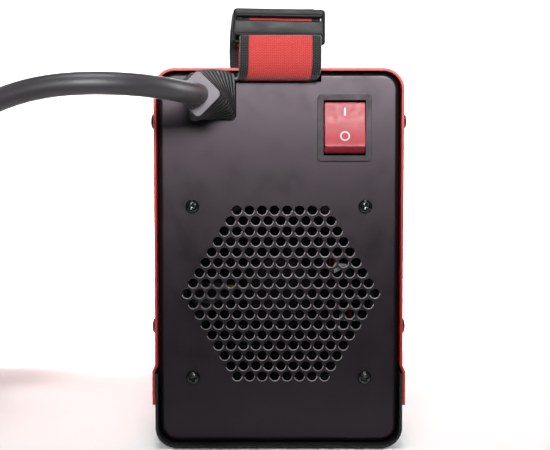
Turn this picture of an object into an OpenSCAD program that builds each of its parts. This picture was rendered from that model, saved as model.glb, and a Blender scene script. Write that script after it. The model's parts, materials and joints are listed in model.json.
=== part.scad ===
// Stick welding inverter: black tray and end panels, red sheet cover, webbing handle,
// rear fan and mains switch, front current knob and two output sockets.
// Axes: +X right seen from the rear, -Y rear (fan) end, +Y front (sockets) end, +Z up.
// Origin: centre of the tray's underside. Millimetres.

/* [Housing] */
// Width of the housing above the lap joint
body_w = 118; // [110:1:150]
// Length of the cover and tray, rim to rim
body_d = 270; // [250:1:330]
// Height of the housing without the handle
body_h = 181; // [170:1:230]
// Thickness of the cover and tray sheet
sheet_t = 1.2; // [0.8:0.1:2]
// Outer radius of the long folded corners
corner_r = 10; // [6:0.5:14]
// Height of the tray's side flanges
tray_side_h = 36; // [30:1:45]
// Height at which the cover's lip ends
lip_z = 21; // [15:1:26]
// Height over which the cover steps outward over the tray
joggle_h = 3; // [2:0.5:5]
// Gap between the cover's lip and the tray
lap_gap = 0.1; // [0.05:0.05:0.4]

/* [End panels] */
// Thickness of the end panels
panel_t = 1.2; // [0.8:0.1:2]
// Depth of the panels behind the rims
panel_recess = 6; // [4:0.5:10]
// Length of the panels' folded flanges
flange_d = 15; // [12:0.5:20]
// Outer radius of the panels' folded edges
fold_r = 2.6; // [2:0.1:4]
// Gap between a panel's flange and the sheet around it
panel_gap = 0.3; // [0.2:0.1:0.6]

/* [Ventilation] */
// Diameter of one ventilation hole
vent_hole_d = 4.8; // [3:0.1:5]
// Distance between the holes of one row
vent_pitch = 6; // [5.8:0.1:6.4]
// Distance between rows
vent_row_pitch = 5; // [4.9:0.05:5.3]
// Rows above and below the middle row
vent_rows = 8; // [4:1:8]
// Holes in the middle row
vent_mid_holes = 16; // [12:1:16]
// Height of the fan's centre
fan_z = 74.4; // [70:0.2:80]
// Distance of the holes' centre to the right of the fan's
vent_x = 1; // [-2:0.5:2]
// Distance of the holes' centre below the fan's
vent_drop = 0.6; // [-2:0.2:2]

/* [Fan] */
// Width of the square fan frame
fan_w = 92; // [90:1:93]
// Spacing of the fan's screws
fan_pitch = 82.5; // [82:0.1:83]
// Thickness of the fan
fan_t = 25; // [20:1:32]
// Diameter of the fan's duct
fan_duct_d = 88; // [84:0.5:89]
// Diameter of the rotor's hub
hub_d = 36; // [30:1:40]
// Number of blades
blades = 7; // [5:1:11]
// Gap between the blade tips and the duct
tip_gap = 1; // [0.6:0.1:2]
// Diameter of the fan's shaft
fan_shaft_d = 3; // [2.5:0.1:4]

/* [Fasteners] */
// Diameter of the cover and fan screws
screw_d = 4; // [3:0.5:4]
// Head diameter of those screws
head_d = 6.6; // [6:0.1:8]
// Head height of those screws
head_h = 2.6; // [2:0.1:3]
// Height of the upper side screws
side_screw_top_z = 156; // [150:1:160]
// Height of the lower side screws
side_screw_low_z = 57; // [50:1:70]
// Gap between a screw's shank and its hole, on the radius
screw_gap = 0.2; // [0.1:0.05:0.4]

/* [Mains switch] */
// Width of the switch bezel
bezel_w = 25.5; // [25:0.1:27]
// Height of the switch bezel
bezel_h = 31.4; // [30:0.1:33]
// How far the bezel stands on the panel
bezel_t = 2; // [1.5:0.1:3]
// Width of the rocker
rocker_w = 19.2; // [18:0.1:19.5]
// Height of the rocker
rocker_h = 25.4; // [24:0.1:25.6]
// Travel of the rocker from one stop to the other, degrees
rocker_travel = 20; // [14:1:22]
// Distance of the switch's centre to the right of the middle
switch_x = 31.2; // [28:0.2:34]
// Height of the switch's centre
switch_z = 153; // [145:0.5:158]
// Gap around the rocker's pivot, on the radius
pivot_gap = 0.05; // [0.02:0.01:0.1]

/* [Mains lead] */
// Diameter of the lead
cord_d = 9.5; // [8:0.1:10]
// Width of the strain relief's square base
relief_w = 22.5; // [20:0.5:24]
// Width of the strain relief's square end
relief_end_w = 16; // [12:0.5:16]
// Length of the strain relief outside the panel
relief_l = 39; // [30:1:45]

/* [Strap] */
// Width of the webbing
strap_w = 38; // [30:1:40]
// Thickness of the webbing
strap_t = 1.6; // [1.2:0.1:2]
// Height of the strap's arch above the cover
strap_rise = 33; // [32:1:50]
// Width of the slot buckles
buckle_w = 43.6; // [42:0.2:50]

/* [Front panel] */
// Height of the current knob
knob_z = 122; // [115:1:130]
// Diameter of the current knob
knob_d = 36; // [28:1:40]
// How far the knob stands out
knob_h = 15; // [12:1:20]
// Turn of the current knob, degrees
knob_turn = 280; // [270:5:300]
// Distance of each output socket from the middle
socket_x = 30; // [27:0.5:32]
// Height of the output sockets
socket_z = 44; // [40:1:48]
// Bore of the output sockets
socket_bore_d = 9.2; // [9:0.1:9.5]
// Depth of that bore
socket_bore_l = 22; // [20:1:26]

/* [Hidden] */
$fn = 48;
eps = 0.01;
in_w = body_w - 2 * sheet_t;
rear_y = -body_d / 2;
front_y = body_d / 2;
rear_face = rear_y + panel_recess;
front_face = front_y - panel_recess;
panel_w = in_w - 2 * panel_gap;
panel_bot = sheet_t + panel_gap;
panel_top = body_h - sheet_t - panel_gap;
panel_r = corner_r - sheet_t - panel_gap;
side_screw_y = panel_recess + flange_d / 2 + 1;
screw_r = screw_d / 2;
clear_r = screw_r + screw_gap;
joggle_z = tray_side_h + 1;
vent_z = fan_z - vent_drop;

// Strap anchors: a slot behind each rim leaves a bar that the webbing loops around. The slot is
// longer to one side, where the webbing's inner layer lies.
bar_w = 9;
slot_w = 5;
slot_len = strap_w + 6.4;
slot_x = -2.1;
notch_h = 4.8;
strap_gap = 0.6;

// Fan places.
fan_y0 = rear_face + panel_t;
fan_y1 = fan_y0 + fan_t;
hub_l = 19;
hub_y0 = fan_y0 + 1.5;
hub_plate_t = 2.5;
blade_angle = 38;
duct_r = fan_duct_d / 2;
stator_r = 14.6;
cup_r = 16.4;
bearing_r = 3.4;
bearing_y0 = fan_y0 + 6;

// Front socket sizes.
insul_flange_d = 33;
insul_flange_t = 5;
insul_body_d = 25;
insul_body_l = 18;
brass_d = 14;
brass_recess = 2.5;
stud_d = 8;
stud_l = 20;
nut_af = 13;
nut_t = 6;
brass_front = front_face + insul_flange_t - brass_recess;
brass_back = front_face - panel_t - insul_body_l - 2;

// Board and internals.
board_t = 1.6;
board_w = in_w - 9.6;
board_y0 = rear_face + 35;
board_l = front_face - 51 - board_y0;
board_z = 16;
board_top = board_z + board_t;
standoff_x = board_w / 2 - 6;
standoff_ys = [board_y0 + 6, board_y0 + 0.75 * board_l, board_y0 + board_l - 6];
insul_w = in_w - 2 * corner_r;
insul_t = 0.6;
sink_w = 21;
sink_l = 74;
sink_h = 62;
sink_y0 = board_y0 + 48;
sink_x = board_w / 2 - 2;
fins = 6;
core_w = 42;
core_h = 44;
core_y = board_y0 + 104;
choke_y = board_y0 + 148;
cap_r = 15;
cap_h = 46;
cap_y = board_y0 + 22;
front_board_y = front_face - 22;
front_board_w = 92;
front_board_h = 76;

// The lead's route from the strain relief to the coil, each point chosen by hand.
cord_r = cord_d / 2;
relief_x = -31.4;
relief_z = body_h - sheet_t - 11.8;
relief_end = [-36, rear_face - relief_l, relief_z];
coil_x = -250;
coil_y = -60;
coil_out = 53;
coil_in = 43.5;
cord_route = [
    [-36, -168, 168], [-37.8, -179.3, 168], [-42.2, -190.2, 168.5], [-49, -199.2, 169.5],
    [-58, -206, 170.5], [-68.5, -210.2, 171], [-80, -212, 171], [-93, -211.5, 170],
    [-106, -209.5, 167.5], [-119, -207, 163], [-132, -203, 156.5], [-145, -199, 147],
    [-157, -195, 134], [-167, -191, 117.5], [-175, -187, 99], [-182, -183, 79.5],
    [-188, -178, 60], [-192.5, -170.5, 41.5], [-195.5, -159, 25.5], [-197, -144, 14],
    [-197, -127, 7.2], [-197, -108, cord_r], [-197, -88, cord_r],
    [coil_x + coil_out, coil_y, cord_r]
];
plug_y = 2;
plug_r = 18.5;
plug_l = 46;
plug_tail = 26;
pin_r = 2.4;
pin_l = 19;
pin_pitch = 19;
plug_x = coil_x + coil_out;
tail_z = cord_r + 2 * cord_d;
tail_route = [
    [plug_x, coil_y, tail_z], [plug_x, coil_y + 20, tail_z - 0.5],
    [plug_x, coil_y + 42, plug_r + 1.5], [plug_x, plug_y, plug_r]
];

// Switch places.
switch_body_w = 21.6;
switch_body_h = 28;
rocker_y = rear_face + 4;
rocker_face = 9;
rocker_gap = 0.35;
pivot_r = 1.6;

// Small front and lead sizes.
pot_bush_d = 7;
pot_shaft_r = 3;
led_d = 5;
led_x = 32;
led_z = 150;
post_x = 41;
post_z = 33;
bus_t = 3;
bus_end_y = front_face - 67;
relief_neck_r = 8;
tie_w = 12;
tie_t = 1.3;

// Buckle: centre measured inward from the rim and up from the cover, and its tilt.
buckle_u = 3;
buckle_v = 19.4;
buckle_tilt = 35;
buckle_h = 21;
buckle_t = 2.4;
low_slot = -7.4;
high_slot = 4.5;
tail_w = 2.5;

// ---------- shared shapes ----------

// Rounded rectangle centred on the origin, exact arcs.
module round_rect(w, h, r) {
    square([w - 2 * r, h], center = true);
    square([w, h - 2 * r], center = true);
    for (sx = [-1, 1], sy = [-1, 1])
        translate([sx * (w / 2 - r), sy * (h / 2 - r)]) circle(r);
}

// Turns a drawing in X-Y into one in X-Z and pushes it along +Y from y0 by d.
module along_y(y0, d) {
    translate([0, y0 + d, 0]) rotate([90, 0, 0]) linear_extrude(d) children();
}

// Cylinder along +Y.
module cyl_y(r, y0, d, x = 0, z = 0) {
    translate([x, y0 + d, z]) rotate([90, 0, 0]) cylinder(r = r, h = d);
}

// Cylinder along +X.
module cyl_x(r, x0, d, y = 0, z = 0) {
    translate([x0, y, z]) rotate([0, 90, 0]) cylinder(r = r, h = d);
}

// Copies its children at the front as well as the rear, half a turn about Z.
module both_ends() {
    children();
    rotate([0, 0, 180]) children();
}

// Pan head screw standing on z = 0 with its shank below, cross recess in the head.
module pan_screw(length) {
    difference() {
        union() {
            cylinder(d = head_d, h = head_h * 0.45);
            translate([0, 0, head_h * 0.45 - eps])
                cylinder(d1 = head_d, d2 = head_d * 0.62, h = head_h * 0.55);
        }
        for (turn = [0, 90])
            rotate([0, 0, turn])
                translate([-head_d * 0.27, -0.5, head_h - 1.3]) cube([head_d * 0.54, 1, 2]);
    }
    translate([0, 0, -length]) cylinder(r = screw_r, h = length + eps);
}

// Profile of a folded pan edge: radius outward along X, depth along Y.
module pan_edge(outer) {
    difference() {
        union() {
            square([outer - fold_r, flange_d]);
            translate([0, fold_r]) square([outer, flange_d - fold_r]);
            translate([outer - fold_r, fold_r]) circle(fold_r);
        }
        translate([-1, panel_t]) square([outer - fold_r + 1, flange_d]);
        translate([-1, fold_r]) square([outer - panel_t + 1, flange_d]);
        translate([outer - fold_r, fold_r]) circle(fold_r - panel_t);
    }
}

// Folded pan, face down on z = 0, flanges rising to flange_d.
module pan(w, h, r) {
    sx = w / 2 - r;
    sy = h / 2 - r;
    translate([-sx, -sy, 0]) cube([2 * sx, 2 * sy, panel_t]);
    for (side = [0, 1]) {
        rotate([0, 0, 180 * side]) translate([sx, sy, 0]) rotate([90, 0, 0])
            linear_extrude(2 * sy) pan_edge(r);
        rotate([0, 0, 90 + 180 * side]) translate([sy, sx, 0]) rotate([90, 0, 0])
            linear_extrude(2 * sx) pan_edge(r);
        rotate([0, 0, 180 * side]) translate([sx, sy, 0])
            rotate_extrude(angle = 90) pan_edge(r);
        rotate([0, 0, 180 * side]) translate([-sx, sy, 0]) rotate([0, 0, 90])
            rotate_extrude(angle = 90) pan_edge(r);
    }
}

// Blank end panel in place at the rear.
module panel_blank() {
    translate([0, rear_face, (panel_top + panel_bot) / 2]) rotate([-90, 0, 0])
        pan(panel_w, panel_top - panel_bot, panel_r);
}

// Cuts that both end panels share: side screws, tray screws and the strap's notch.
module panel_cuts() {
    for (z = [side_screw_low_z, side_screw_top_z])
        cyl_x(screw_r, -body_w, 2 * body_w, rear_y + side_screw_y, z);
    for (x = [-40, 40])
        translate([x, rear_y + side_screw_y, -1]) cylinder(r = screw_r, h = 20);
    translate([slot_x - slot_len / 2, rear_face - 1, panel_top - notch_h])
        cube([slot_len, flange_d + 2, notch_h + 1]);
}

// ---------- housing ----------

module tray_profile() {
    difference() {
        translate([0, body_h / 2]) round_rect(body_w, body_h, corner_r);
        translate([0, body_h / 2]) round_rect(in_w, body_h - 2 * sheet_t, corner_r - sheet_t);
        translate([-body_w, tray_side_h]) square([2 * body_w, body_h]);
    }
}

module base_tray() {
    color([0.06, 0.06, 0.07]) difference() {
        along_y(rear_y, body_d) tray_profile();
        both_ends() for (x = [-40, 40])
            translate([x, rear_y + side_screw_y, -1]) cylinder(r = clear_r, h = 4);
        for (x = [-standoff_x, standoff_x], y = standoff_ys)
            translate([x, y, -1]) cylinder(r = 1.5, h = 4);
    }
}

module cover_profile() {
    difference() {
        translate([0, body_h / 2]) round_rect(body_w, body_h, corner_r);
        translate([0, body_h / 2]) round_rect(in_w, body_h - 2 * sheet_t, corner_r - sheet_t);
        translate([-body_w, -1]) square([2 * body_w, joggle_z + joggle_h + 1]);
    }
}

// The cover's stepped lower edge on the right, rising into the wall by one sheet.
module lip_profile() {
    lap = lap_gap + sheet_t;
    out = body_w / 2;
    polygon([
        [out, joggle_z + joggle_h + sheet_t], [out - sheet_t, joggle_z + joggle_h + sheet_t],
        [out - sheet_t, joggle_z + joggle_h], [out + lap_gap, joggle_z], [out + lap_gap, lip_z],
        [out + lap, lip_z], [out + lap, joggle_z], [out, joggle_z + joggle_h]
    ]);
}

module cover() {
    color([0.75, 0.12, 0.1]) difference() {
        union() {
            along_y(rear_y, body_d) cover_profile();
            for (turn = [0, 180]) rotate([0, 0, turn]) along_y(rear_y, body_d) lip_profile();
        }
        both_ends() {
            for (z = [side_screw_low_z, side_screw_top_z])
                cyl_x(clear_r, -body_w, 2 * body_w, rear_y + side_screw_y, z);
            translate([slot_x - slot_len / 2, rear_y + bar_w, body_h - 5]) cube([slot_len, slot_w, 10]);
        }
    }
}

module vent_holes() {
    for (row = [-vent_rows:vent_rows]) {
        count = vent_mid_holes - abs(row);
        for (i = [0:count - 1])
            translate([vent_x + (i - (count - 1) / 2) * vent_pitch, vent_z + row * vent_row_pitch])
                circle(d = vent_hole_d, $fn = 24);
    }
}

module rear_panel() {
    color([0.12, 0.11, 0.13]) difference() {
        panel_blank();
        panel_cuts();
        along_y(rear_face - 1, panel_t + 2) {
            vent_holes();
            for (sx = [-1, 1], sz = [-1, 1])
                translate([sx * fan_pitch / 2, fan_z + sz * fan_pitch / 2]) circle(clear_r);
            translate([switch_x, switch_z]) square([switch_body_w + 0.2, switch_body_h + 0.2], center = true);
            translate([relief_x, relief_z]) circle(relief_neck_r + 0.2);
        }
    }
}

module front_panel() {
    color([0.12, 0.11, 0.13]) difference() {
        rotate([0, 0, 180]) difference() {
            panel_blank();
            panel_cuts();
        }
        along_y(front_face - panel_t - 1, panel_t + 2) {
            for (side = [-1, 1])
                translate([side * socket_x, socket_z]) circle(d = insul_body_d + 0.3);
            translate([0, knob_z]) circle(d = pot_bush_d + 0.3);
            for (side = [-1, 1])
                translate([side * led_x, led_z]) circle(d = led_d + 0.3);
        }
    }
}

module cover_screws() {
    color([0.05, 0.05, 0.05]) both_ends()
        for (z = [side_screw_low_z, side_screw_top_z], side = [-1, 1])
            translate([side * body_w / 2, rear_y + side_screw_y, z])
                rotate([0, side * 90, 0]) pan_screw(6);
}

module tray_screws() {
    color([0.05, 0.05, 0.05]) both_ends() for (x = [-40, 40])
        translate([x, rear_y + side_screw_y, sheet_t]) difference() {
            translate([0, 0, -sheet_t]) cylinder(r = screw_r, h = 8);
            translate([0, 0, -sheet_t - eps]) cylinder(r = 1.2, h = 1, $fn = 6);
        }
}

// ---------- fan ----------

module fan_frame() {
    w = fan_w / 2;
    color([0.08, 0.08, 0.08]) {
        difference() {
            along_y(fan_y0, fan_t) translate([0, fan_z]) round_rect(fan_w, fan_w, 4);
            cyl_y(duct_r, fan_y0 - 1, fan_t + 2, 0, fan_z);
            for (sx = [-1, 1], sz = [-1, 1])
                cyl_y(clear_r, fan_y0 - 1, fan_t + 2, sx * fan_pitch / 2, fan_z + sz * fan_pitch / 2);
            for (turn = [0, 90, 180, 270])
                translate([0, 0, fan_z]) rotate([0, turn, 0])
                    translate([-fan_w * 0.33, fan_y0 + 4, w - 1.2]) cube([fan_w * 0.66, fan_t - 8, 3]);
        }
        difference() {
            cyl_y(hub_d / 2 + 1, fan_y1 - hub_plate_t, hub_plate_t, 0, fan_z);
            cyl_y(bearing_r, fan_y1 - hub_plate_t - 1, hub_plate_t + 2, 0, fan_z);
        }
        for (turn = [45:90:315])
            translate([0, 0, fan_z]) rotate([0, turn, 0])
                translate([hub_d / 2, fan_y1 - hub_plate_t, -2.5])
                    cube([duct_r - hub_d / 2 + 0.8, hub_plate_t, 5]);
    }
}

module fan_stator() {
    color([0.72, 0.42, 0.2]) difference() {
        cyl_y(stator_r, hub_y0 + 4, hub_l - 6.5, 0, fan_z);
        cyl_y(bearing_r, hub_y0, hub_l + 4, 0, fan_z);
        for (turn = [0:45:315])
            translate([0, 0, fan_z]) rotate([0, turn, 0])
                translate([8, hub_y0, -0.8]) cube([stator_r, hub_l + 4, 1.6]);
    }
}

module fan_bearing() {
    color([0.7, 0.55, 0.25]) difference() {
        cyl_y(bearing_r, bearing_y0, fan_y1 - bearing_y0, 0, fan_z);
        cyl_y(fan_shaft_d / 2 + 0.03, bearing_y0 - 1, fan_t, 0, fan_z);
    }
}

module fan_rotor() {
    tip_r = duct_r - tip_gap;
    color([0.05, 0.05, 0.05]) {
        difference() {
            cyl_y(hub_d / 2, hub_y0, hub_l, 0, fan_z);
            cyl_y(cup_r, hub_y0 + 2.5, hub_l, 0, fan_z);
            cyl_y(fan_shaft_d / 2, hub_y0 - 1, hub_l, 0, fan_z);
        }
        intersection() {
            difference() {
                cyl_y(tip_r, hub_y0, hub_l, 0, fan_z);
                cyl_y(hub_d / 2 - 0.6, hub_y0 - 1, hub_l + 2, 0, fan_z);
            }
            for (i = [0:blades - 1])
                translate([0, hub_y0 + hub_l / 2, fan_z]) rotate([0, i * 360 / blades, 0])
                    rotate([blade_angle, 0, 0]) translate([hub_d / 2 - 2, -0.9, -14])
                        cube([duct_r, 1.8, 28]);
        }
    }
}

module fan_shaft() {
    color([0.7, 0.7, 0.72]) cyl_y(fan_shaft_d / 2, hub_y0, fan_y1 - hub_y0 - 1.5, 0, fan_z);
}

module fan_screws() {
    color([0.05, 0.05, 0.05]) for (sx = [-1, 1], sz = [-1, 1])
        translate([sx * fan_pitch / 2, rear_face, fan_z + sz * fan_pitch / 2])
            rotate([90, 0, 0]) pan_screw(fan_t + 6);
}

module fan_nuts() {
    color([0.7, 0.7, 0.72]) for (sx = [-1, 1], sz = [-1, 1])
        translate([sx * fan_pitch / 2, fan_y1, fan_z + sz * fan_pitch / 2]) rotate([-90, 0, 0])
            difference() {
                cylinder(d = 7 / cos(30), h = 3.2, $fn = 6);
                translate([0, 0, -1]) cylinder(r = screw_r, h = 6);
            }
}

// ---------- mains switch ----------

module switch_housing() {
    back_y = rear_face + 20;
    color([0.1, 0.1, 0.1]) difference() {
        union() {
            along_y(rear_face - bezel_t, bezel_t) translate([switch_x, switch_z])
                round_rect(bezel_w, bezel_h, 1.5);
            along_y(rear_face, back_y - rear_face) translate([switch_x, switch_z])
                square([switch_body_w, switch_body_h], center = true);
        }
        along_y(rear_face - bezel_t - 1, rocker_y - rear_face + bezel_t + 7)
            translate([switch_x, switch_z])
                square([rocker_w + 2 * rocker_gap, rocker_h + 2 * rocker_gap], center = true);
        cyl_x(pivot_r + pivot_gap, switch_x - 20, 40, rocker_y, switch_z);
    }
}

// Side outline of the rocker, Y along X and Z along Y, in its middle position.
module rocker_outline() {
    face = rocker_face;
    difference() {
        polygon([
            [-face, rocker_h / 2 - 2.2], [-1, rocker_h / 2 - 0.2], [2, rocker_h / 2 - 1.2],
            [3.6, 0], [2, -rocker_h / 2 + 1.2], [-1, -rocker_h / 2 + 0.2],
            [-face, -rocker_h / 2 + 2.2]
        ]);
        translate([-face - 60 + 0.7, 0]) circle(60, $fn = 200);
    }
}

module switch_rocker() {
    color([0.8, 0.2, 0.22]) translate([switch_x, rocker_y, switch_z])
        rotate([-rocker_travel / 2, 0, 0]) {
            translate([-rocker_w / 2, 0, 0]) rotate([90, 0, 90])
                linear_extrude(rocker_w) rocker_outline();
            cyl_x(pivot_r, -switch_body_w / 2, switch_body_w);
        }
}

module switch_terminals() {
    color([0.85, 0.72, 0.4]) for (sx = [-1, 1], z = [-9, 2])
        translate([switch_x + sx * 5 - 0.4, rear_face + 20, switch_z + z]) cube([0.8, 9, 6.3]);
}

// ---------- mains lead ----------

module strain_relief() {
    ribs = 9;
    step = (relief_l - 3) / ribs;
    dx = relief_end[0] - relief_x;
    dz = relief_end[2] - relief_z;
    color([0.04, 0.04, 0.05]) {
        translate([relief_x - relief_w / 2, rear_face - 3, relief_z - relief_w / 2])
            cube([relief_w, 3, relief_w]);
        for (i = [0:ribs - 1]) {
            f = (i + 1) / ribs;
            w = relief_w + (relief_end_w - relief_w) * f;
            translate([relief_x + dx * f, rear_face - 3 - step * i, relief_z + dz * f])
                rotate([90, 45 * f, 0]) {
                    translate([-w / 2, -w / 2, step * 0.35]) cube([w, w, step * 0.65]);
                    translate([-w * 0.42, -w * 0.42, -0.2]) cube([w * 0.84, w * 0.84, step * 0.5]);
                }
        }
        cyl_y(relief_neck_r, rear_face - 1, panel_t + 3, relief_x, relief_z);
        along_y(rear_face + panel_t, 3) translate([relief_x, relief_z])
            square([relief_neck_r * 2 + 2, relief_neck_r * 2 + 2], center = true);
        cyl_y(cord_r, rear_face + panel_t + 2, 16, relief_x, relief_z);
    }
}

function unit(v) = v / norm(v);
function heading(p, i) = unit(p[min(i + 1, len(p) - 1)] - p[max(i - 1, 0)]);
function side_of(t, up) = unit(cross(t, up));

// Ring of points around route point i.
function ring(p, i, r, sides, up) =
    let (t = heading(p, i), a = side_of(t, up), b = cross(a, t))
    [for (k = [0:sides - 1]) p[i] + r * (cos(360 * k / sides) * a + sin(360 * k / sides) * b)];

// Tube of radius r along the route p, which never runs parallel to up.
module tube(p, r, sides = 10, up = [0, 0, 1]) {
    n = len(p);
    points = [for (i = [0:n - 1]) each ring(p, i, r, sides, up)];
    walls = [for (i = [0:n - 2], k = [0:sides - 1])
        let (k2 = (k + 1) % sides)
        [i * sides + k, i * sides + k2, (i + 1) * sides + k2, (i + 1) * sides + k]];
    start = [[for (k = [sides - 1:-1:0]) k]];
    finish = [[for (k = [0:sides - 1]) (n - 1) * sides + k]];
    polyhedron(points, concat(walls, start, finish), convexity = 6);
}

module mains_cord() {
    color([0.05, 0.05, 0.06]) tube(cord_route, cord_r - 0.02);
}

module cord_tail() {
    color([0.05, 0.05, 0.06]) tube(tail_route, cord_r - 0.02);
}

// Section of the coil: two columns of turns, the outer one a turn higher.
module coil_section() {
    c = cord_r * 0.6;
    r0 = coil_in - cord_r;
    r1 = coil_in + cord_r;
    r2 = coil_out + cord_r;
    polygon([
        [r0 + c, 0], [r2 - c, 0], [r2, c], [r2, 3 * cord_d - c], [r2 - c, 3 * cord_d],
        [r1 + c, 3 * cord_d], [r1, 3 * cord_d - c], [r1, 2 * cord_d], [r0 + c, 2 * cord_d],
        [r0, 2 * cord_d - c], [r0, c]
    ]);
}

module mains_cord_coil() {
    color([0.05, 0.05, 0.06]) translate([coil_x, coil_y, 0]) difference() {
        rotate_extrude() coil_section();
        translate([-coil_out - 2 * cord_d, -tie_w / 2 - 0.4, -1])
            cube([coil_out, tie_w + 0.8, 1 + tie_t + 0.4]);
    }
}

module cord_tie() {
    r0 = coil_in - cord_r - 0.5;
    r2 = coil_out + cord_r + 0.5;
    color([0.1, 0.1, 0.1]) translate([coil_x, coil_y, 0]) difference() {
        translate([-r2 - tie_t, -tie_w / 2, 0])
            cube([r2 - r0 + 2 * tie_t, tie_w, 3 * cord_d + 0.5 + tie_t]);
        translate([-r2, -tie_w, tie_t]) cube([r2 - r0, 2 * tie_w, 3 * cord_d + 0.5 - tie_t]);
    }
}

module mains_plug() {
    color([0.06, 0.06, 0.06]) difference() {
        union() {
            cyl_y(plug_r, plug_y + plug_tail, plug_l, plug_x, plug_r);
            translate([plug_x, plug_y, plug_r]) rotate([-90, 0, 0])
                cylinder(r1 = cord_r + 1, r2 = cord_r + 4.5, h = plug_tail + 1);
        }
        for (side = [-1, 1])
            translate([plug_x + side * (plug_r - 1.5) - 2, plug_y + plug_tail + 12, plug_r - 6])
                cube([4, plug_l, 12]);
        cyl_y(2.5, plug_y + plug_tail + plug_l - 16, 20, plug_x, plug_r - 10.5);
    }
}

module plug_pins() {
    color([0.78, 0.78, 0.76]) for (side = [-1, 1])
        cyl_y(pin_r, plug_y + plug_tail + plug_l, pin_l, plug_x + side * pin_pitch / 2, plug_r);
}

// ---------- strap and buckles ----------

// One pass of corner cutting along an open path; the ends stay.
function cut(p) = concat([p[0]],
    [for (i = [0:len(p) - 2], f = [0.25, 0.75]) p[i] + f * (p[i + 1] - p[i])],
    [p[len(p) - 1]]);

// Point of the buckle's own plane: s up along it, w inward through it.
function in_buckle(s, w) = [
    buckle_u + sin(buckle_tilt) * s + cos(buckle_tilt) * w,
    buckle_v + cos(buckle_tilt) * s - sin(buckle_tilt) * w
];

// Half of the strap's path from the sewn tail to the middle of the arch,
// as distance inward from the rim and height above the cover.
function strap_half() = [
    in_buckle(buckle_h / 2 - 1, tail_w), in_buckle(low_slot + 2.1, tail_w),
    in_buckle(low_slot, tail_w - 0.1), in_buckle(low_slot, 0.1 - tail_w),
    in_buckle(low_slot - 2.1, -tail_w), in_buckle(-12.8, -tail_w),
    [-8, 5], [-8.2, 0.4], [-6.6, -3.5], [-2, -5.1], [4, -5.1], [9, -4.4],
    [bar_w + slot_w / 2, -1.5], [bar_w + slot_w / 2, 4], [bar_w + 1, 10],
    in_buckle(1, tail_w + strap_t + strap_gap), in_buckle(13, tail_w + strap_t + strap_gap),
    [26, strap_rise - 5], [52, strap_rise - 1], [90, strap_rise]
];

// Both edges of a band of thickness t along the path p.
function band(p, t) =
    let (n = len(p), nrm = [for (i = [0:n - 1])
        let (d = p[min(i + 1, n - 1)] - p[max(i - 1, 0)]) [-d[1], d[0]] / norm(d)])
    concat([for (i = [0:n - 1]) p[i] + nrm[i] * t / 2],
        [for (i = [n - 1:-1:0]) p[i] - nrm[i] * t / 2]);

module carry_strap() {
    half = cut(cut([for (q = strap_half()) [rear_y + q[0], body_h + q[1]]]));
    other = [for (i = [len(half) - 1:-1:0]) [-half[i][0], half[i][1]]];
    color([0.85, 0.15, 0.12]) translate([-strap_w / 2, 0, 0]) rotate([90, 0, 90])
        linear_extrude(strap_w) polygon(band(concat(half, other), strap_t));
}

module slot_buckle() {
    color([0.05, 0.05, 0.06])
        translate([0, rear_y + buckle_u, body_h + buckle_v]) rotate([90 - buckle_tilt, 0, 0])
            translate([0, 0, -buckle_t / 2]) linear_extrude(buckle_t) difference() {
                round_rect(buckle_w, buckle_h, 2);
                translate([0, low_slot]) square([strap_w + 1.6, 2.8], center = true);
                translate([0, high_slot]) square([strap_w + 1.6, 2.2], center = true);
            }
}

module strap_buckle_rear() { slot_buckle(); }

module strap_buckle_front() { rotate([0, 0, 180]) slot_buckle(); }

// ---------- front controls ----------

module scale_plate() {
    color([0.75, 0.75, 0.76]) along_y(front_face, 0.5) difference() {
        translate([0, knob_z]) round_rect(96, 84, 4);
        translate([0, knob_z]) circle(d = pot_bush_d + 0.3);
        for (side = [-1, 1])
            translate([side * led_x, led_z]) circle(d = led_d + 0.3);
    }
}

module control_knob() {
    color([0.07, 0.07, 0.07]) difference() {
        union() {
            cyl_y(knob_d / 2, front_face + 3.4, 2.5, 0, knob_z);
            cyl_y(knob_d / 2 - 2, front_face + 3.4, knob_h - 3.4, 0, knob_z);
        }
        for (i = [0:17])
            translate([0, 0, knob_z]) rotate([0, i * 20, 0])
                cyl_y(1.2, front_face + 6, knob_h, knob_d / 2 - 1.6, 0);
        cyl_y(knob_d / 2 - 7, front_face + knob_h - 1.2, 5, 0, knob_z);
        cyl_y(pot_shaft_r, front_face, knob_h - 3, 0, knob_z);
        cyl_y(8.6, front_face, 7, 0, knob_z);
    }
}

module knob_cap() {
    color([0.75, 0.12, 0.1]) difference() {
        cyl_y(knob_d / 2 - 7, front_face + knob_h - 1.2, 2, 0, knob_z);
        translate([-0.8, front_face + knob_h + 0.3, knob_z + 2]) cube([1.6, 2, knob_d / 2 - 9]);
    }
}

module potentiometer() {
    color([0.3, 0.3, 0.32]) difference() {
        union() {
            cyl_y(8.2, front_board_y - 8, 8, 0, knob_z);
            cyl_y(pot_bush_d / 2, front_board_y - 1, front_face + 3 - front_board_y, 0, knob_z);
        }
        cyl_y(pot_shaft_r + 0.05, front_board_y - 6, 60, 0, knob_z);
    }
}

module potentiometer_shaft() {
    color([0.7, 0.7, 0.72])
        cyl_y(pot_shaft_r, front_board_y - 5.5, front_face + knob_h - 3.2 - front_board_y + 5.5, 0, knob_z);
}

module potentiometer_nut() {
    color([0.7, 0.7, 0.72]) difference() {
        translate([0, front_face + 0.5, knob_z]) rotate([-90, 0, 0])
            cylinder(d = 10 / cos(30), h = 2, $fn = 6);
        cyl_y(pot_bush_d / 2, front_face, 5, 0, knob_z);
    }
}

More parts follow.
